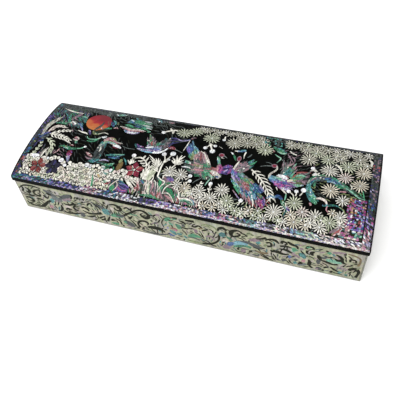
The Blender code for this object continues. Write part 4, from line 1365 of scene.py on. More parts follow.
# Berries: centre, radius and where the stalk ends
BERRIES = [
    ((-38.3, 30.6), 2.1, (-35, 33)), ((-27, 1.6), 2.3, (-24, -5)), ((-19, 4), 2.7, (-23.6, -7)),
    ((-20.4, -4), 1.2, (-24, -9)), ((8, 19), 2, (11, 24)), ((15.8, 16), 2.6, (12.6, 22)),
    ((16.4, 23.6), 1.7, (12.4, 24.6)), ((5, -18), 1.9, (2, -23)), ((6.4, -23.4), 1.7, (3, -26)),
    ((25.4, -22), 1.8, (26, -27)), ((93, -14.4), 1.8, (98, -18)), ((99.4, -13), 1.8, (99.6, -18)),
    ((105.2, -10.4), 2.3, (103, -17)), ((108.6, 16.4), 1.9, (113, 13)), ((111.6, 9.6), 1.8, (115, 12)),
    ((-54.6, -6.6), 2.2, (-52, -10)), ((55.6, -33), 1.9, (54, -38)), ((22, 34.4), 1.6, (22, 38)),
]
# Palm: the directions of its leaves in degrees, and their lengths
PALM_FOOT = (-12.4, -7.6)
PALM = [(150, 6.4), (122, 6.6), (98, 7.6), (74, 8.2), (52, 8.2), (30, 7), (12, 5)]

claw_tips = [(-46, -41), (-43, -42.4), (-39.8, -43.6), (-39.2, -40), (-40, -36.4), (-41.6, -33)]
plants = [
    [disc("black", (-48, -36), 8.6, 4.4, -0.5, 14, drop=0.012)],
    fan("silver", (-58, -29), (-49, -31.6), claw_tips, 1.5),
]
plants += [frond(*row) for row in SPRAYS] + [fan(*row) for row in FANS]
plants += [banded(*row, 0.45) for row in LEAVES] + strips(drawn(STEMS)) + [berry(*row) for row in BERRIES]
palm = []
for degrees, reach in PALM:
    turn = math.radians(degrees)
    leaf = [PALM_FOOT, polar(PALM_FOOT, reach * 0.55, turn), polar(PALM_FOOT, reach, turn - 0.1)]
    palm.append(strip("silver", leaf, [1, 2, 0.5], 3))
palm.append(strip("silver", [(-12.4, -7), (-13, -10), (-15, -13)], [1.6, 1.2, 1]))
plants.append(palm)
lay("pale_plants", plants, on_lid, 0.1, 0.19, True)

# Blossom bank at the front left: its scalloped top edge, then small heads filling the bank
EDGE = [
    (-158, -30), (-155, -28), (-151, -29), (-147, -31), (-141, -29), (-137, -28.6), (-133, -28),
    (-130.6, -26.4), (-126.4, -25.6), (-122.6, -27.6), (-119.4, -30), (-116.6, -32.4), (-112.6, -28.6),
    (-109, -30.4), (-105.4, -30.6), (-102, -28), (-98.4, -28.8), (-95, -27.6), (-91.4, -28), (-88, -27.4),
    (-84.6, -26), (-81.4, -28), (-78.6, -27.4), (-74, -30), (-69.6, -28.4), (-66, -29), (-62, -27.6),
    (-58.6, -26), (-55.6, -27), (-52, -32),
]
# Large flowers and ferns that the small heads leave room for, with their radii
ROOMS = [((-143, -38), 6.9), ((-127.5, -36.5), 6.9), ((-75, -28), 4.4), ((-63, -20), 4.6)]


def blossom_head(centre, radius, petals, turn):
    """A small blossom: curved petals that turn about a centre, over a patch of lacquer."""
    tints = rng.choice([["silver"], ["silver", "leafy"], ["cream", "leafy"], ["cream", "rose"]])
    cuts = [disc("black", centre, radius * 1.08, sides=14, drop=0.012)]
    for index in range(petals):
        angle = turn + 2 * math.pi * index / petals
        spots = ((0.3, -0.2), (0.72, 0.2), (0.98, 0.85))
        points = [polar(centre, radius * reach, angle + bend) for reach, bend in spots]
        cuts.append(strip(rng.choice(tints), points, [0.8, 1.9, 1.1], 3))
    cuts.append(disc("silver", centre, radius * 0.16, sides=6))
    return cuts


blossom = []
for u, v in EDGE:
    tint = rng.choice(["silver", "white", "silver", "rose" if u > -100 else "silver"])
    size = rng.uniform(1.7, 2.7)
    shadow = disc("black", (u, v), size + 0.5, sides=14, drop=0.012)
    bead = [shadow, disc(tint, (u, v), size, size * 0.94, 0, 12)]
    if size > 2.1:
        bead.append(disc("mauve", (u, v - 0.3), 0.7, sides=7, drop=-0.003))
    blossom.append(bead)
row = 0
spot_v = BANK_FRONT
while spot_v < BANK_BACK:
    spot_u = BANK_LEFT + (row % 2) * HEAD_SHIFT
    while spot_u < BANK_RIGHT:
        u, v = spot_u + rng.uniform(-0.7, 0.7), spot_v + rng.uniform(-0.5, 0.5)
        spot_u += HEAD_STEP_U
        above = v > np.interp(u, *zip(*EDGE)) - BANK_CLEARANCE
        beside = u > -68 and v < -33.6
        if above or beside or any(math.dist((u, v), spot) < reach for spot, reach in ROOMS):
            continue
        blossom.append(blossom_head((u, v), rng.uniform(3.0, 3.8), rng.choice([4, 5, 5]), rng.uniform(0, 3)))
    spot_v += HEAD_STEP_V
    row += 1
lay("blossom_bank", blossom, on_lid, 0.08, 0.14)

blooms = [
    flower((-143, -38.2), 9, ["wine", "red", "wine", "wine", "wine"], "grey", 0.25),
    flower((-127.5, -36.6), 9, ["navy", "navy", "indigo", "navy", "navy"], "slate", 0.55),
    flower((-48, -22.8), 9, ["crimson", "red", "crimson"], "rose", 0.4),
    [disc("bronze", (-63.4, -22), 2.6, 5.6, -0.15, 14), disc("olive", (-64.6, -16), 1.6, 2.6, -0.2, 10)],
]
LEAFAGE = [
    ("green", (-82, -23, 1.4), (-77, -23.6, 3.6), (-70, -22, 2.4)),
    ("mint", (-76, -22.6, 0.8), (-73, -21.6, 1.8), (-69.6, -20, 0.8)),
    ("green", (-80, -26, 1), (-76, -27.6, 3), (-72, -26, 1)),
    ("teal", (-76.6, -31, 1), (-73, -33, 2.6), (-70, -31.6, 1)),
    ("green", (-68.6, -24, 1), (-67.6, -28, 1.6), (-69, -31, 0.6)),
    ("pink", (-75, -28.6, 1.4), (-73, -28, 3), (-71, -28.6, 1)),
    ("green", (-84.6, -37, 0.8), (-83, -42, 1.5), (-81.6, -48, 2)),
    ("pink", (-80, -41, 2.2), (-78, -43, 2.6)),
    ("gold", (-80.4, -35, 1.4), (-77.6, -37.4, 2)),
    ("green", (-72.6, -40.4, 2), (-69, -41, 2.4)),
    ("red", (-70, -43.6, 1.2), (-67.4, -42, 1.6)),
    ("teal", (-63, -12, 0.8), (-60, -15, 1.6), (-58, -19, 0.8)),
]
lay("flowers", blooms + bird_cuts(drawn(LEAFAGE)), on_lid, 0.13, 0.19)

ROCKS = [
    ("dusk", (-66, -40, 6), (-58, -41, 14), (-49, -44, 6)),
    ("slate", (-24.6, -22, 1.4), (-24.6, -25, 4.6), (-22.6, -29, 2.4)),
    ("blue", (-60.6, -36, 1.6), (-56, -37, 4), (-50.6, -39.6, 1.6)),
    ("teal", (-56, -40, 1), (-52, -40.6, 2), (-48, -42, 1)),
    ("emerald", (-64.6, -43, 2.4), (-61.6, -45.6, 5.4), (-59, -47.6, 2.4)),
    ("violet", (-57.6, -41, 3), (-52, -43.6, 8.6), (-46, -44.6, 4)),
    ("indigo", (-52, -40.4, 1.2), (-48.6, -41.6, 3), (-46, -43, 1.6)),
    ("magenta", (-57.6, -44, 2.6), (-55.6, -46.6, 3.4)),
    ("indigo", (-51.6, -41.6, 2), (-48, -43, 2)),
    ("mauve", (-66, -44, 2), (-64, -47.6, 2)),
    ("rose", (-66.6, -48, 0.8), (-63.6, -43, 0.9), (-60.6, -38.6, 0.9), (-57.6, -36.4, 0.6)),
    ("rose", (-60, -48, 0.7), (-57.6, -43.6, 0.8), (-58.6, -40, 0.7), (-60.6, -38.6, 0.5)),
    ("dusk", (-36, -31, 5), (-35, -38, 8), (-34, -46, 8)),
    ("rose", (-32.6, -33, 1.6), (-32, -39, 3.4), (-31, -45, 2)),
    ("grey", (-25, -30, 4), (-23.6, -37, 7), (-22, -45, 7)),
    ("dusk", (-12, -32, 8), (-10, -40, 14), (-8, -47, 12)),
    ("leafy", (-28.6, -36, 1), (-27.6, -41, 2), (-26, -46, 1.4)),
    ("blue", (-37.6, -32, 2.4), (-34, -35, 2)),
    ("red", (-41, -34.6, 1.4), (-38, -39, 2.6), (-36, -43, 1)),
    ("mauve", (-27, -30, 1.4), (-24.6, -36, 4), (-25, -42, 2)),
    ("dusk", (-33, -37, 2.6), (-32, -43, 3)),
    ("emerald", (-20.6, -28, 2), (-17.6, -34, 4.4), (-16.6, -41, 2.6)),
    ("pink", (-17.6, -37, 1.4), (-15.6, -42, 2.4), (-12, -46, 1.4)),
    ("emerald", (-13.6, -36.4, 2), (-8.6, -37, 4.4), (-4, -41.4, 3.4), (0, -46, 1.6)),
    ("mauve", (-11, -33, 1.6), (-5, -33.6, 3), (0, -38, 2)),
    ("red", (-24, -42, 2.4), (-20.6, -45, 2.4)),
    ("green", (-34, -46.6, 1.4), (-24, -46, 3), (-13, -48, 1)),
    ("pink", (-12, -42, 1.2), (-7, -44, 2.2), (-2, -47.6, 1)),
    ("mauve", (-18.6, -24, 4), (-12.6, -26, 8.4), (-6.6, -27.6, 3)),
    ("violet", (-15.4, -26, 1.4), (-11, -25.6, 4.4), (-7.6, -26, 1.4)),
    ("green", (-15, -30.4, 0.8), (-11, -29.8, 2), (-8.6, -30.6, 0.8)),
    ("indigo", (-16, -24, 1.4), (-12, -23, 1.6)),
    ("silver", (-28, -24.6, 0.7), (-27.4, -29, 1), (-29.6, -34, 0.9), (-29, -40, 0.9), (-28, -43, 0.6)),
    ("silver", (-24, -25, 1), (-20, -27.6, 1.2), (-15.4, -29.6, 1.1), (-17.6, -34, 0.9), (-19, -39, 0.6)),
    ("silver", (-19, -23, 1), (-15, -21.6, 1), (-9.6, -20.6, 1.1), (-6.4, -23.6, 1), (-7, -28, 0.8)),
    ("silver", (-19, -23, 1), (-18.6, -26.6, 0.8)),
    ("silver", (-7, -33, 0.9), (-2, -34.6, 1.2), (0.6, -38, 1), (3, -44, 0.6)),
    ("silver", (-14, -41.6, 0.7), (-13.4, -36, 0.9), (-11, -32, 0.9), (-7, -29, 0.9)),
    ("silver", (-13.6, -41, 0.6), (-9, -40, 1), (-5, -43, 1), (-1, -47.6, 0.6)),
    ("silver", (-26, -29.6, 0.5), (-23.6, -31.6, 0.8), (-22.6, -36, 0.5)),
    ("grey", (2, -43, 4), (10, -43, 8), (19, -43.6, 6)),
    ("green", (4, -45, 1.6), (8, -43.6, 3), (15.6, -46.6, 1.4)),
    ("red", (0.6, -46, 2), (2.6, -47, 2)),
    ("magenta", (8, -45.6, 2), (10.6, -46.6, 2)),
    ("pink", (9, -38, 1.2), (12, -39, 2.4), (14, -41, 1)),
    ("mint", (12, -41, 1), (15, -43, 2.4), (17, -46, 1)),
    ("silver", (0, -40.6, 0.7), (3, -43, 1), (8, -41.6, 0.9), (13, -42.6, 0.9), (15.6, -45, 0.5)),
    ("mauve", (132, -46, 1.4), (137, -42.6, 3.4), (140.6, -38, 1.4)),
    ("red", (135, -47, 0.8), (139, -43, 1.8), (141, -40, 0.8)),
]
# Folds under the rocks: the tints of each stage from top to bottom, and the two lines
FOLDS = [
    ([["silver", "rose", "mauve"], ["mauve", "grey", "silver", "pink"], ["rose", "grey", "red"]],
     [(-45, -30), (-36, -31), (-28, -30), (-22, -31)], [(-40, -45), (-31, -46), (-22, -47), (-13, -48)]),
    ([["green", "mauve", "olive"], ["grey", "rose", "green"], ["red", "mauve", "pink"]],
     [(-21, -28), (-12, -31), (-4, -32)], [(-18, -47), (-8, -48), (4, -47)]),
    ([["grey", "olive", "silver"], ["green", "mauve", "rose"]], [(0, -35), (10, -37), (19, -38)],
     [(4, -48), (12, -48), (20, -47)]),
    ([["blue", "dusk", "green"], ["violet", "green", "teal"], ["violet", "magenta", "blue"]],
     [(-64, -38), (-57, -35), (-51, -38)], [(-67, -48), (-58, -48.4), (-47, -48)]),
]
lay("rock_folds", [plumes(*row, 1.7, 0.4) for row in FOLDS], on_lid, 0.045, 0.06)
lay("rocks", rock_cuts(drawn(ROCKS)), on_lid, 0.07, 0.13, True)

# Scrolls on the front

FRONT = [
    ("ink", (-160, 34, 1.2), (-156, 36.5, 2.4), (-150, 37.8, 2.25), (-143, 37.6, 2.25), (-137, 36, 1.05)),
    ("ink", (-160, 35, 1.8), (-158.6, 31, 2.1), (-161, 26, 2.1)),
    ("ink", (-156, 33, 0.9), (-153, 32, 3), (-152, 28.6, 3.9), (-154.6, 26, 3), (-156.6, 28, 1.2)),
    ("ink", (-154.6, 24.6, 1.2), (-153, 22, 3.3), (-150, 22, 2.7), (-148.4, 24, 0.9)),
    ("ink", (-139, 34, 1.2), (-144.6, 32, 2.1), (-148, 28, 2.7), (-146, 24.4, 2.7), (-142, 24, 3.3),
     (-141, 27, 2.4), (-143.6, 28, 1.05)),
    ("ink", (-140, 34.6, 2.4), (-139.6, 31, 1.8), (-141, 29, 0.75)),
    ("ink", (-161, 16, 1.2), (-158, 17.6, 2.7), (-154, 16.6, 2.7), (-152.6, 13.4, 3.9), (-155, 11.6, 3),
     (-156.8, 13.4, 1.05)),
    ("ink", (-161, 11, 1.5), (-159.6, 7.6, 3.3), (-154, 5.6, 2.1), (-147, 6, 2.4), (-143, 8, 4.2),
     (-139, 12.4, 3.3), (-135, 16.6, 3.3), (-131, 20, 2.4)),
    ("ink", (-148, 18, 1.2), (-143.6, 18.8, 2.7), (-139, 17.6, 1.2)),
    ("ink", (-137, 27, 2.4), (-135.4, 24, 3.9), (-133, 22.6, 2.1)),
    ("slate", (-134.6, 35.6, 2.4), (-130.6, 33, 4.8), (-126, 29.6, 6), (-121.6, 27, 3.6)),
    ("ink", (-133, 31, 1.5), (-130.4, 30, 3.9), (-127.6, 29.6, 1.5)),
    ("grey", (-128, 26, 4.5), (-122, 24.6, 8.1), (-117, 25, 4.5)),
    ("teal", (-127.6, 23.6, 3), (-129.6, 20, 6), (-131.6, 16.6, 2.4)),
    ("slate", (-120, 25.6, 2.1), (-115, 29.6, 4.5), (-110, 33, 6), (-103.6, 35.6, 3)),
    ("mauve", (-116, 25, 3), (-111.6, 27.6, 6.6), (-106, 30.6, 3.6)),
    ("ink", (-104.6, 36, 1.5), (-104.4, 33, 2.1), (-106, 30, 1.2)),
    ("ink", (-117, 20.6, 1.5), (-113, 18.8, 2.7), (-108, 20.6, 2.7), (-103.6, 24, 5.1)),
    ("ink", (-127, 5, 1.2), (-123, 6.6, 2.7), (-120.8, 11, 3.3), (-120.6, 16.6, 1.5)),
    ("pink", (-135, 7.4, 2.4), (-133.6, 9.6, 4.8), (-132, 12, 2.1)),
    ("ink", (-119.6, 8, 1.8), (-118, 5.6, 2.7), (-112, 5.6, 2.4), (-104, 8, 2.4), (-99.4, 10, 0.9)),
    ("ink", (-117, 10.4, 1.2), (-113.4, 12.8, 3.3), (-109.6, 11.4, 1.5)),
    ("rose", (-117, 15, 1.5), (-113, 15.8, 3.9), (-109.6, 15, 1.5)),
    ("ink", (-99, 19.6, 0.9), (-103.6, 20, 1.95), (-106.6, 16.6, 2.25), (-104.6, 13, 3.6),
     (-101.8, 14.4, 1.2)),
    ("slate", (-99, 11, 2.4), (-98.6, 7.4, 5.4), (-100.6, 4.6, 3.6)),
    ("ink", (-97.6, 19, 1.2), (-94.4, 20.6, 2.7), (-90.6, 18.6, 3.3), (-90.4, 15.8, 1.2)),
    ("ink", (-97, 15.4, 1.2), (-92, 12.8, 3), (-87, 13, 2.4), (-82, 14.6, 3), (-76, 17.6, 3.9)),
    ("ink", (-95, 7, 1.2), (-90, 7.4, 2.7), (-84, 11, 1.8)),
    ("ink", (-122.6, 34.8, 3), (-121, 35, 3)),
    ("olive", (-117.6, 35, 2.4), (-115, 33.6, 3.9)),
    ("ink", (-98.6, 35, 5.1), (-97.6, 32, 2.4)),
    ("ink", (-94.6, 29.6, 2.7), (-93.6, 27.4, 3)),
    ("ink", (-93, 34.6, 2.4), (-91, 33, 3.6)),
    ("ink", (-90, 24.6, 1.35), (-88, 28, 2.4), (-85, 29.6, 1.5), (-84.6, 25, 2.4)),
    # second bird
    ("slate", (-84, 33, 1.5), (-80, 29, 3.6), (-75, 27.6, 6), (-72, 25, 3.6)),
    ("ink", (-82, 31, 1.35), (-78, 26.6, 1.95), (-76, 22, 1.2)),
    ("teal", (-68.6, 26, 5.4), (-70.4, 21.6, 9.6), (-71, 17, 4.8)),
    ("slate", (-66.6, 24, 3.6), (-66.4, 20.6, 2.1)),
    ("grey", (-68, 18.6, 2.1), (-67, 16, 3)),
    ("green", (-66, 17, 3), (-60, 19.6, 6.9), (-54, 20, 5.4)),
    ("slate", (-60.6, 19.6, 1.8), (-56, 20, 4.5), (-50.6, 22, 1.8)),
    ("ink", (-80.6, 8, 2.1), (-77, 11, 2.1), (-73, 14, 0.9)),
    ("ink", (-77.4, 8, 3.9), (-76.6, 5.8, 4.5)),
    ("ink", (-72, 6, 2.7), (-70, 10.6, 2.25), (-68, 15, 1.2)),
    ("ink", (-67.6, 8.6, 1.5), (-65.6, 10.6, 3.6), (-63, 10, 1.2)),
    ("green", (-68, 5, 1.35), (-63.6, 5, 3.9), (-60, 5.6, 2.1)),
    ("ink", (-62, 13.6, 1.2), (-58, 11, 2.1), (-57, 5.6, 1.5)),
    ("ink", (-56.6, 4.4, 3.3), (-54.6, 4.4, 2.4)),
    ("ink", (-71, 35.4, 3), (-68.6, 35.6, 3.6)),
    ("ink", (-69, 26.6, 1.5), (-67.6, 30, 1.95), (-66, 34, 1.05)),
    ("ink", (-65, 34, 1.2), (-60, 36, 2.1), (-55, 34, 3.3), (-53.6, 30, 4.2), (-56.4, 27.8, 2.7),
     (-59.6, 29.4, 2.4), (-59.4, 32, 1.05)),
    ("ink", (-57, 33.4, 1.5), (-56, 31, 1.8)),
    ("rose", (-63, 31, 2.4), (-62.6, 27, 4.2)),
    ("ink", (-52, 21, 1.5), (-49, 25, 2.7), (-44.6, 28, 3), (-41, 31.6, 2.7), (-37, 34.6, 2.25),
     (-32, 36, 2.55), (-27.4, 33.6, 3.3), (-25.6, 29, 3.3), (-28.6, 25.4, 3.9), (-32.4, 26.6, 3),
     (-33.6, 30, 2.1), (-31, 32, 1.05)),
    ("ink", (-50, 33, 1.2), (-46.6, 35.6, 2.4), (-43.4, 33, 2.4), (-41.4, 31, 1.8)),
    ("green", (-45, 27, 0.9), (-41, 26.6, 2.1), (-37.6, 27, 1.2)),
    ("ink", (-47.6, 18.4, 3.6), (-45, 21, 2.25), (-43, 24, 1.05)),
    ("slate", (-53, 14, 3), (-48.6, 10.6, 7.8), (-43, 7, 3)),
    ("green", (-54, 12, 2.7), (-50.6, 11, 3)),
    ("ink", (-46, 17, 1.05), (-43, 12.6, 1.8), (-41, 8, 1.35)),
    ("ink", (-39.6, 5, 3), (-39.8, 8.6, 2.25)),
    ("ink", (-37, 8, 2.7), (-38.8, 13, 2.25), (-36.6, 18, 2.55), (-31.6, 20, 2.7), (-28, 18, 3),
     (-29, 15, 1.2)),
    ("ink", (-34, 9.6, 1.8), (-34.6, 6, 3.3)),
    ("ink", (-29, 11.6, 3), (-24, 12.6, 5.4), (-17, 12.6, 5.1), (-12, 9, 1.8)),
    ("slate", (-37, 5, 1.2), (-28, 3.2, 2.25), (-18, 3.6, 2.25), (-10, 6.6, 1.35)),
    ("ink", (-20, 6, 1.35), (-21, 3, 2.25)),
    ("slate", (-21.6, 21.6, 3.9), (-20.4, 20, 5.1)),
    ("mauve", (-19.6, 22.6, 1.8), (-19, 19.6, 3)),
    ("ink", (-24.6, 22.6, 2.7), (-23, 23.6, 1.95)),
    ("ink", (-26, 18, 2.4), (-24, 17, 2.7)),
    ("ink", (-27, 33, 1.2), (-22, 31.4, 1.8), (-19.4, 33, 1.8), (-17, 36, 1.05)),
    ("mauve", (-18, 34, 3.6), (-14.6, 35.6, 2.25)),
    # right of the round flower
    ("ink", (10, 35.8, 2.1), (14, 36, 3.3), (18.6, 36.6, 3.6)),
    ("ink", (15.6, 29, 3), (18.6, 28.6, 2.25), (22, 31.4, 2.25), (25, 29.6, 2.1)),
    ("mauve", (17.6, 22.4, 5.1), (20.6, 22.4, 5.4)),
    ("mauve", (18.6, 21, 2.4), (20.4, 23.4, 2.4)),
    ("olive", (24.6, 33, 1.2), (30, 36, 2.1), (36.4, 34.6, 2.1), (39, 30.6, 1.5)),
    ("ink", (25, 25, 1.35), (28, 27, 2.25), (31, 29, 1.5)),
    ("bronze", (22, 27, 2.4), (26, 29, 1.8)),
    ("green", (11, 11.6, 2.4), (16.6, 14.4, 6.3), (23, 14, 2.1)),
    ("teal", (7, 8, 4.2), (9, 9.6, 3.6)),
    ("slate", (10, 9.6, 1.35), (16, 10.6, 2.4), (22, 9, 1.35)),
    ("olive", (9.6, 5, 1.5), (16, 4.4, 3), (24, 4.4, 1.8)),
    ("ink", (24, 4.6, 2.1), (32, 6.8, 3.3), (37.6, 11.6, 2.25), (40.4, 17, 2.1), (41, 24.6, 2.1)),
    ("ink", (36, 6, 2.4), (36, 4, 3.3)),
    ("mauve", (28.6, 17, 1.5), (31.6, 19, 3.6), (35, 17, 1.95), (36.6, 13, 1.05)),
    ("ink", (39.6, 30, 1.5), (41.6, 34.6, 3), (45, 36, 4.2), (48, 33, 1.8)),
    ("teal", (44.4, 29.6, 3), (44, 26, 7.2), (43, 22.6, 3.3)),
    ("ink", (41.6, 25.6, 2.1), (41.4, 22, 1.5)),
    ("rose", (44, 18, 3.6), (48, 15.6, 3)),
    ("olive", (50, 20, 2.1), (52, 17, 1.5)),
    ("ink", (62, 35, 1.2), (58, 37, 2.25), (53.6, 35, 3.6), (51.8, 30.6, 4.5), (53.4, 27, 3),
     (57.4, 28.4, 2.7), (60, 31.6, 2.1), (57, 33, 2.1)),
    ("ink", (60, 34.6, 0.9), (64, 33.6, 2.1), (66.6, 31, 1.05)),
    ("olive", (66, 33, 1.5), (68, 36.4, 3.3), (72, 34.6, 1.8)),
    ("green", (47, 25, 1.2), (50, 22.4, 3.6), (53, 20, 1.8)),
    # third bird
    ("mauve", (44, 5.6, 3), (48, 8.6, 7.5), (50.6, 12, 3.6)),
    ("slate", (46.6, 6, 2.7), (50, 8, 3.9)),
    ("blue", (48.6, 11, 3), (51.6, 15, 6), (54, 17, 2.4)),
    ("sky", (53, 15, 3.6), (60, 18, 7.2), (67, 18, 3)),
    ("teal", (55, 19, 1.5), (61, 21, 4.5), (67, 21, 2.4)),
    ("green", (54, 11, 2.1), (60, 14.4, 3.9), (66, 16, 3), (70, 15, 3.6)),
    ("slate", (58, 21.6, 1.5), (66, 22.4, 3.3), (72, 20, 5.1), (80, 18, 3)),
    ("ink", (72, 17.6, 3), (76.6, 17, 3.6), (82, 19, 1.5)),
    ("mauve", (68, 26.6, 3), (73, 28.6, 5.7), (78, 31.6, 2.7)),
    ("blue", (71, 28, 2.1), (75.6, 29.6, 3)),
    ("ink", (74, 31, 1.5), (79, 32.6, 2.55), (83, 35.6, 2.7)),
    ("teal", (74.6, 24.6, 4.5), (78, 26.6, 2.7)),
    ("ink", (67.6, 26, 2.4), (69, 25, 3.3)),
    ("ink", (69.4, 8, 3.9), (69.6, 11, 2.1)),
    ("ink", (57.6, 7.4, 2.7), (58.6, 11, 1.5), (62, 13.4, 0.9)),
    ("mauve", (60.6, 8, 5.1), (65, 8, 5.1)),
    ("bronze", (74, 12, 1.5), (80, 10.6, 3.6), (85, 12.6, 2.4)),
    ("ink", (73, 13, 1.35), (79.6, 9, 2.1), (86, 4.4, 1.35)),
    ("ink", (78, 7.4, 1.05), (84, 4, 2.1), (90, 2.8, 1.05)),
    ("slate", (71, 5, 1.2), (76, 5, 2.4), (77, 8, 1.2)),
    ("ink", (82, 31.6, 1.5), (86, 34.6, 2.4), (90.6, 34.6, 3.6), (94, 31, 1.5)),
    ("ink", (84, 23, 3), (87.6, 25, 2.25), (86.6, 29.6, 2.1), (83, 28, 2.1)),
    ("olive", (81.6, 22, 2.4), (83, 26, 1.8)),
    ("ink", (96, 32, 2.4), (97, 35.6, 2.7), (100.6, 34, 2.1), (99, 31, 1.5)),
    ("ink", (101, 37, 1.8), (104.6, 34, 3.6), (109, 32.6, 2.7), (110, 29, 1.5)),
    ("ink", (95, 27.6, 2.4), (100, 29.4, 2.7), (105, 28.6, 1.5)),
    ("ink", (94.6, 23.4, 1.35), (100, 23.8, 3.6), (105.6, 21, 2.4)),
    ("mauve", (105, 20.6, 1.8), (109, 18.6, 3.3), (112.6, 16, 1.5)),
    ("ink", (87, 17, 3.3), (92, 18.4, 5.1), (98, 16.6, 3.3), (103, 18, 1.5)),
    ("green", (106, 29.6, 3.3), (108.6, 25, 5.1)),
    ("mint", (105, 25, 2.1), (108, 24, 2.1)),
    ("teal", (112, 24, 1.8), (115, 20.6, 6), (116.6, 17, 2.4)),
    ("mauve", (112.6, 32, 2.4), (113.6, 29, 3.3)),
    ("pink", (116, 15, 3), (115.6, 11, 3.6)),
    ("ink", (120, 17, 1.2), (121.2, 12.6, 3.6), (120.6, 8, 3)),
    ("sky", (120.2, 15, 0.75), (120.4, 11, 1.35)),
    ("ink", (121, 8, 2.1), (124, 5, 2.4)),
    ("grey", (111, 4.6, 2.1), (115, 7, 4.5), (119, 9, 1.8)),
    ("blue", (102.6, 16, 4.2), (105, 13.4, 3.9)),
    ("slate", (98, 9, 3.3), (100, 6, 5.4)),
    ("slate", (108, 12.6, 3.3), (110.6, 11, 3.9)),
    ("teal", (108, 8.6, 3), (110, 6, 3.9)),
    ("ink", (112, 10, 1.5), (114.6, 9, 2.25), (111.6, 7, 2.4)),
    ("ink", (117, 32, 2.4), (118, 35.6, 2.7), (122, 36, 2.1), (123, 33, 2.1)),
    ("green", (117, 34, 1.8), (120, 36, 2.1)),
    ("ink", (118, 30, 2.4), (118, 26, 1.95), (121, 25, 1.2)),
    ("ink", (124, 30, 2.1), (121.6, 28, 3.6), (123, 24, 1.8)),
    ("ink", (127, 26.6, 2.1), (128.6, 22.6, 3.9), (130, 20, 2.4)),
    ("slate", (128, 25, 2.1), (132, 24, 2.7), (134, 27, 2.1), (130.6, 27.6, 1.5)),
    ("slate", (128.4, 20, 3.6), (128, 16, 3.6), (128.4, 13, 1.5)),
    ("white", (128.8, 17, 0.75), (128.6, 14, 1.35)),
    ("slate", (128, 8.6, 2.4), (129.4, 6, 5.7), (130, 4, 2.4)),
    ("mauve", (127.6, 6.4, 2.7), (128, 4.4, 2.4)),
    ("ink", (130, 20, 1.5), (135, 19, 3.3), (140, 17.4, 2.1), (144, 19, 2.4)),
    ("mint", (134, 22, 3), (140, 22.4, 6), (147, 21.6, 2.4)),
    ("green", (134.6, 34, 3.6), (137, 32, 3)),
    ("teal", (138.6, 31, 3.9), (140.4, 32, 2.7)),
    ("ink", (134, 36, 2.4), (133.6, 34, 1.8)),
    ("mauve", (138, 35, 2.4), (143, 36.4, 3.3), (148, 37.8, 1.8)),
    ("ink", (148, 38, 1.8), (148, 34.6, 2.4)),
    ("ink", (141, 33, 1.5), (145, 30.6, 3), (146.6, 27, 3), (143.6, 24.8, 3.3), (141, 26.6, 1.8)),
    ("ink", (146.6, 27, 1.8), (148, 23, 3), (151, 22.6, 1.2)),
    ("bronze", (150, 37.4, 1.35), (155.6, 36.6, 2.1), (160, 34, 1.8), (160.6, 28, 1.8), (159.6, 23, 2.1)),
    ("ink", (153, 26.6, 1.8), (153, 30, 1.95), (156.6, 30.4, 1.95), (157.6, 27.6, 1.5), (155, 26.4, 1.2)),
    ("ink", (153.6, 13.6, 2.7), (155.6, 17, 4.2), (159, 17.4, 4.2), (161.6, 14, 2.55), (161, 9, 2.1),
     (160.2, 5, 2.7)),
    ("ink", (134, 11.6, 3), (135.4, 9.6, 4.5)),
    ("ink", (138.6, 13, 1.8), (142, 10, 2.55), (146, 8, 1.5)),
    ("mauve", (144, 14, 2.1), (148, 14, 2.7), (151, 15.4, 1.2)),
    ("teal", (145.6, 8.4, 2.4), (148, 7, 4.5)),
    ("teal", (151, 5.6, 2.1), (153.6, 5.4, 3.3)),
    ("ink", (139, 6, 3.6), (141, 5.4, 3.3)),
    ("ink", (132, 5.6, 2.4), (134, 5, 2.4)),
    # round flower in the middle
    ("green", (-9.6, 27.6, 2.4), (-7.6, 31, 5), (-4, 34, 2.4)),
    ("green", (-6, 27.6, 1.8), (-4.6, 25, 2.4)),
    ("mint", (-5.6, 24.6, 2), (-2.6, 24.6, 3.4)),
    ("ink", (-12.4, 17, 1), (-13.6, 24, 1.2), (-10, 31.6, 1.3), (-4, 35, 1.4), (2.6, 35.6, 3)),
    ("ink", (-7, 31.6, 1), (-5, 30, 1.4), (-2, 31, 1)),
    ("pink", (-4, 36.4, 1.5), (-2.4, 36, 1.6)),
    ("green", (-2.6, 33, 1.4), (1.4, 34, 2)),
    ("green", (0, 27, 2), (2.6, 24, 5.4), (3, 20, 3)),
    ("ink", (4, 33, 1.2), (8, 32, 2.8), (10, 29, 1.5)),
    ("slate", (6, 26.6, 3.6), (9, 27, 4)),
    ("ink", (5, 24, 1.2), (8.6, 23, 2.4), (12, 23, 2)),
    ("lilac", (-9.4, 18, 3), (-7.6, 17.6, 3.6)),
    ("red", (-5.8, 18, 1.4), (-2, 19, 2.4), (1, 17, 2)),
    ("magenta", (-3, 16.6, 1.2), (0.6, 15.6, 2.2)),
    ("slate", (-12, 13, 2.2), (-9.6, 14.6, 2.6)),
    ("teal", (-7, 14, 2), (-3.6, 12.4, 5), (-1, 9, 2.4)),
    ("blue", (-8.6, 9.6, 1.8), (-6, 7, 3.2), (-2.6, 6.6, 1.6)),
    ("teal", (0, 11.4, 3), (4.6, 11.6, 3)),
    ("ink", (-10.6, 6, 0.9), (-7.6, 9, 1.5)),
    ("ink", (6, 19, 1), (8.6, 16, 1.4), (9.6, 12.6, 0.9)),
    ("mauve", (10, 20, 1.2), (11, 16, 1.2)),
    ("slate", (3, 15, 0.8), (6, 14, 1.6)),
    ("ink", (5.6, 3, 1.6), (7, 5, 1.4)),
]


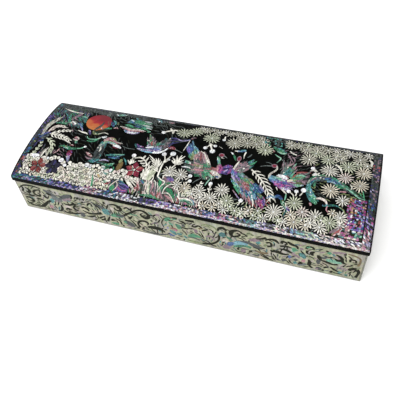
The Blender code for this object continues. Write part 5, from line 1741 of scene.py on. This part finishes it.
def fill_between(rows, half, pitch=2.7, room=2.2):
    """Small curved leaves wherever the drawn strokes leave a side empty, half being half its length."""
    taken = np.concatenate([smooth(points, 5) for _, points, _ in rows])
    leaves = []
    u = -half
    while u < half:
        v = SIDE_LOW
        while v < SIDE_HIGH:
            spot = np.array([u + rng.uniform(-1, 1), v + rng.uniform(-1, 1)])
            v += pitch
            if np.linalg.norm(taken - spot, axis=1).min() < room:
                continue
            taken = np.vstack([taken, spot])
            turn = 0.9 * math.sin(spot[0] / 9) + 0.8 * math.cos(spot[1] / 6) + rng.uniform(-0.5, 0.5)
            tint = rng.choice(["ink"] * 7 + ["slate", "olive", "mauve", "teal", "grey"])
            start, end = polar(spot, 2.5, turn + math.pi - 0.6), polar(spot, 2.5, turn - 0.6)
            leaves.append([strip(tint, [start, spot, end], [0.5, 1.35, 1.2, 0.5], 3)])
        u += pitch
    return leaves


front = drawn(FRONT)
lay("front_scrolls", strips(front) + fill_between(front, FRONT_HALF), on_front, 0.03, 0.09)


def scroll_run(length):
    """A plainer scroll for the sides that the photo doesn't show: a waving vine with curls and leaves."""
    rows = []
    count = round(length / VINE_BEAT)
    start = -length / 2 + VINE_END
    beat = (length - 2 * VINE_END) / count
    wave = []
    for step in range(count * VINE_POINTS + 1):
        turn = step / VINE_POINTS
        u = start + turn * beat - 1.5 * math.sin(4 * math.pi * turn)
        wave.append((u, SIDE_MIDDLE + VINE_HEIGHT * math.sin(2 * math.pi * turn)))
    rows.append(("ink", wave, [1.5, 2, 1.5, 2, 1.5]))
    for index in range(count * 2):
        side = -1 if index % 2 else 1
        u = start + (index + 0.5) * beat / 2
        curl = []
        for step in range(CURL_POINTS + 1):
            share = step / CURL_POINTS
            angle = side * (math.pi / 2 - 2.6 * math.pi * share)
            curl.append(polar((u, SIDE_MIDDLE + side * 1.5), 6 * (1 - 0.75 * share), angle))
        arc = [(u + du, SIDE_MIDDLE + side * rise) for du, rise in ((-5, 14), (0, 15.4), (5, 14))]
        leaf = [(u + du, SIDE_MIDDLE - side * fall) for du, fall in ((-3.4, 8), (0, 10.6), (3.4, 12.4))]
        tint = ("teal", "mauve", "green", "slate", "mauve", "olive")[index % 6]
        rows.append(("ink", curl, [1, 1.6, 1.8, 2, 2.4]))
        rows.append(("ink", arc, [0.8, 2.4, 0.8]))
        rows.append((tint, leaf, [0.8, 3.2, 0.8]))
    return strips(rows) + fill_between(rows, length / 2 - 4, 3.6, 3.1)


lay("back_scrolls", scroll_run(LONG_VINE), on_back, 0.03, 0.09)
lay("left_scrolls", scroll_run(SHORT_VINE), on_left, 0.03, 0.09)
lay("right_scrolls", scroll_run(SHORT_VINE), on_right, 0.03, 0.09)

# Camera at the photo's angle


def sideways(back):
    """The right and up directions of something level that looks away from the given direction."""
    right = np.cross([0, 0, 1], back)
    right /= np.linalg.norm(right)
    return right, np.cross(back, right)


def place_matrix(right, up, back, place):
    return Matrix([[right[i], up[i], back[i], place[i]] for i in range(3)] + [[0, 0, 0, 1]])


azimuth, elevation, roll = (math.radians(a) for a in (CAMERA_AZIMUTH, CAMERA_ELEVATION, CAMERA_ROLL))
back = np.array(
    [math.sin(azimuth) * math.cos(elevation), -math.cos(azimuth) * math.cos(elevation), math.sin(elevation)]
)
right, up = sideways(back)
right, up = math.cos(roll) * right + math.sin(roll) * up, -math.sin(roll) * right + math.cos(roll) * up
place = (back * CAMERA_BACK + right * CAMERA_RIGHT + up * CAMERA_UP) * BOX_LENGTH
camera_data = bpy.data.cameras.new("camera")
camera_data.lens = CAMERA_LENS
camera_data.sensor_width = CAMERA_SENSOR
camera_data.shift_x = CAMERA_SHIFT_X
camera_data.shift_y = CAMERA_SHIFT_Y
camera_data.clip_start = CAMERA_CLIP
camera = bpy.data.objects.new("camera", camera_data)
camera.matrix_world = place_matrix(right, up, back, place)
bpy.context.scene.collection.objects.link(camera)
bpy.context.scene.camera = camera

# Floor and light

floor_mesh = bpy.data.meshes.new("floor")
floor_corners = [(x * FLOOR_REACH, y * FLOOR_REACH, 0) for x, y in ((-1, -1), (1, -1), (1, 1), (-1, 1))]
floor_mesh.from_pydata(floor_corners, [], [(0, 1, 2, 3)])
floor = bpy.data.objects.new("floor", floor_mesh)
bpy.context.scene.collection.objects.link(floor)
paper, paper_tree, paper_shader = new_material("white_paper", 0.8, 0.0)
paper_tint = ramp(paper_tree, noise(paper_tree, 3), [(232, 232, 232), (236, 236, 236)])
paper_tree.links.new(paper_tint, paper_shader.inputs["Base Color"])
floor_mesh.materials.append(paper)


def softbox(name, spot, size, power):
    """A round soft light that looks at the origin."""
    light = bpy.data.lights.new(name, "AREA")
    light.shape = "DISK"
    light.size = size
    light.energy = power
    item = bpy.data.objects.new(name, light)
    away = np.array(spot) / np.linalg.norm(spot)
    item.matrix_world = place_matrix(*sideways(away), away, spot)
    bpy.context.scene.collection.objects.link(item)


softbox("key_light", (-0.5, -1.1, 2.0), 1.4, 34)
softbox("top_light", (0.3, -0.4, 2.3), 1.4, 26)

world = bpy.data.worlds.new("studio")
world.use_nodes = True
world.node_tree.nodes["Background"].inputs["Color"].default_value = (1, 1, 1, 1)
world.node_tree.nodes["Background"].inputs["Strength"].default_value = WORLD_STRENGTH
bpy.context.scene.world = world
bpy.context.scene.view_settings.view_transform = "Standard"
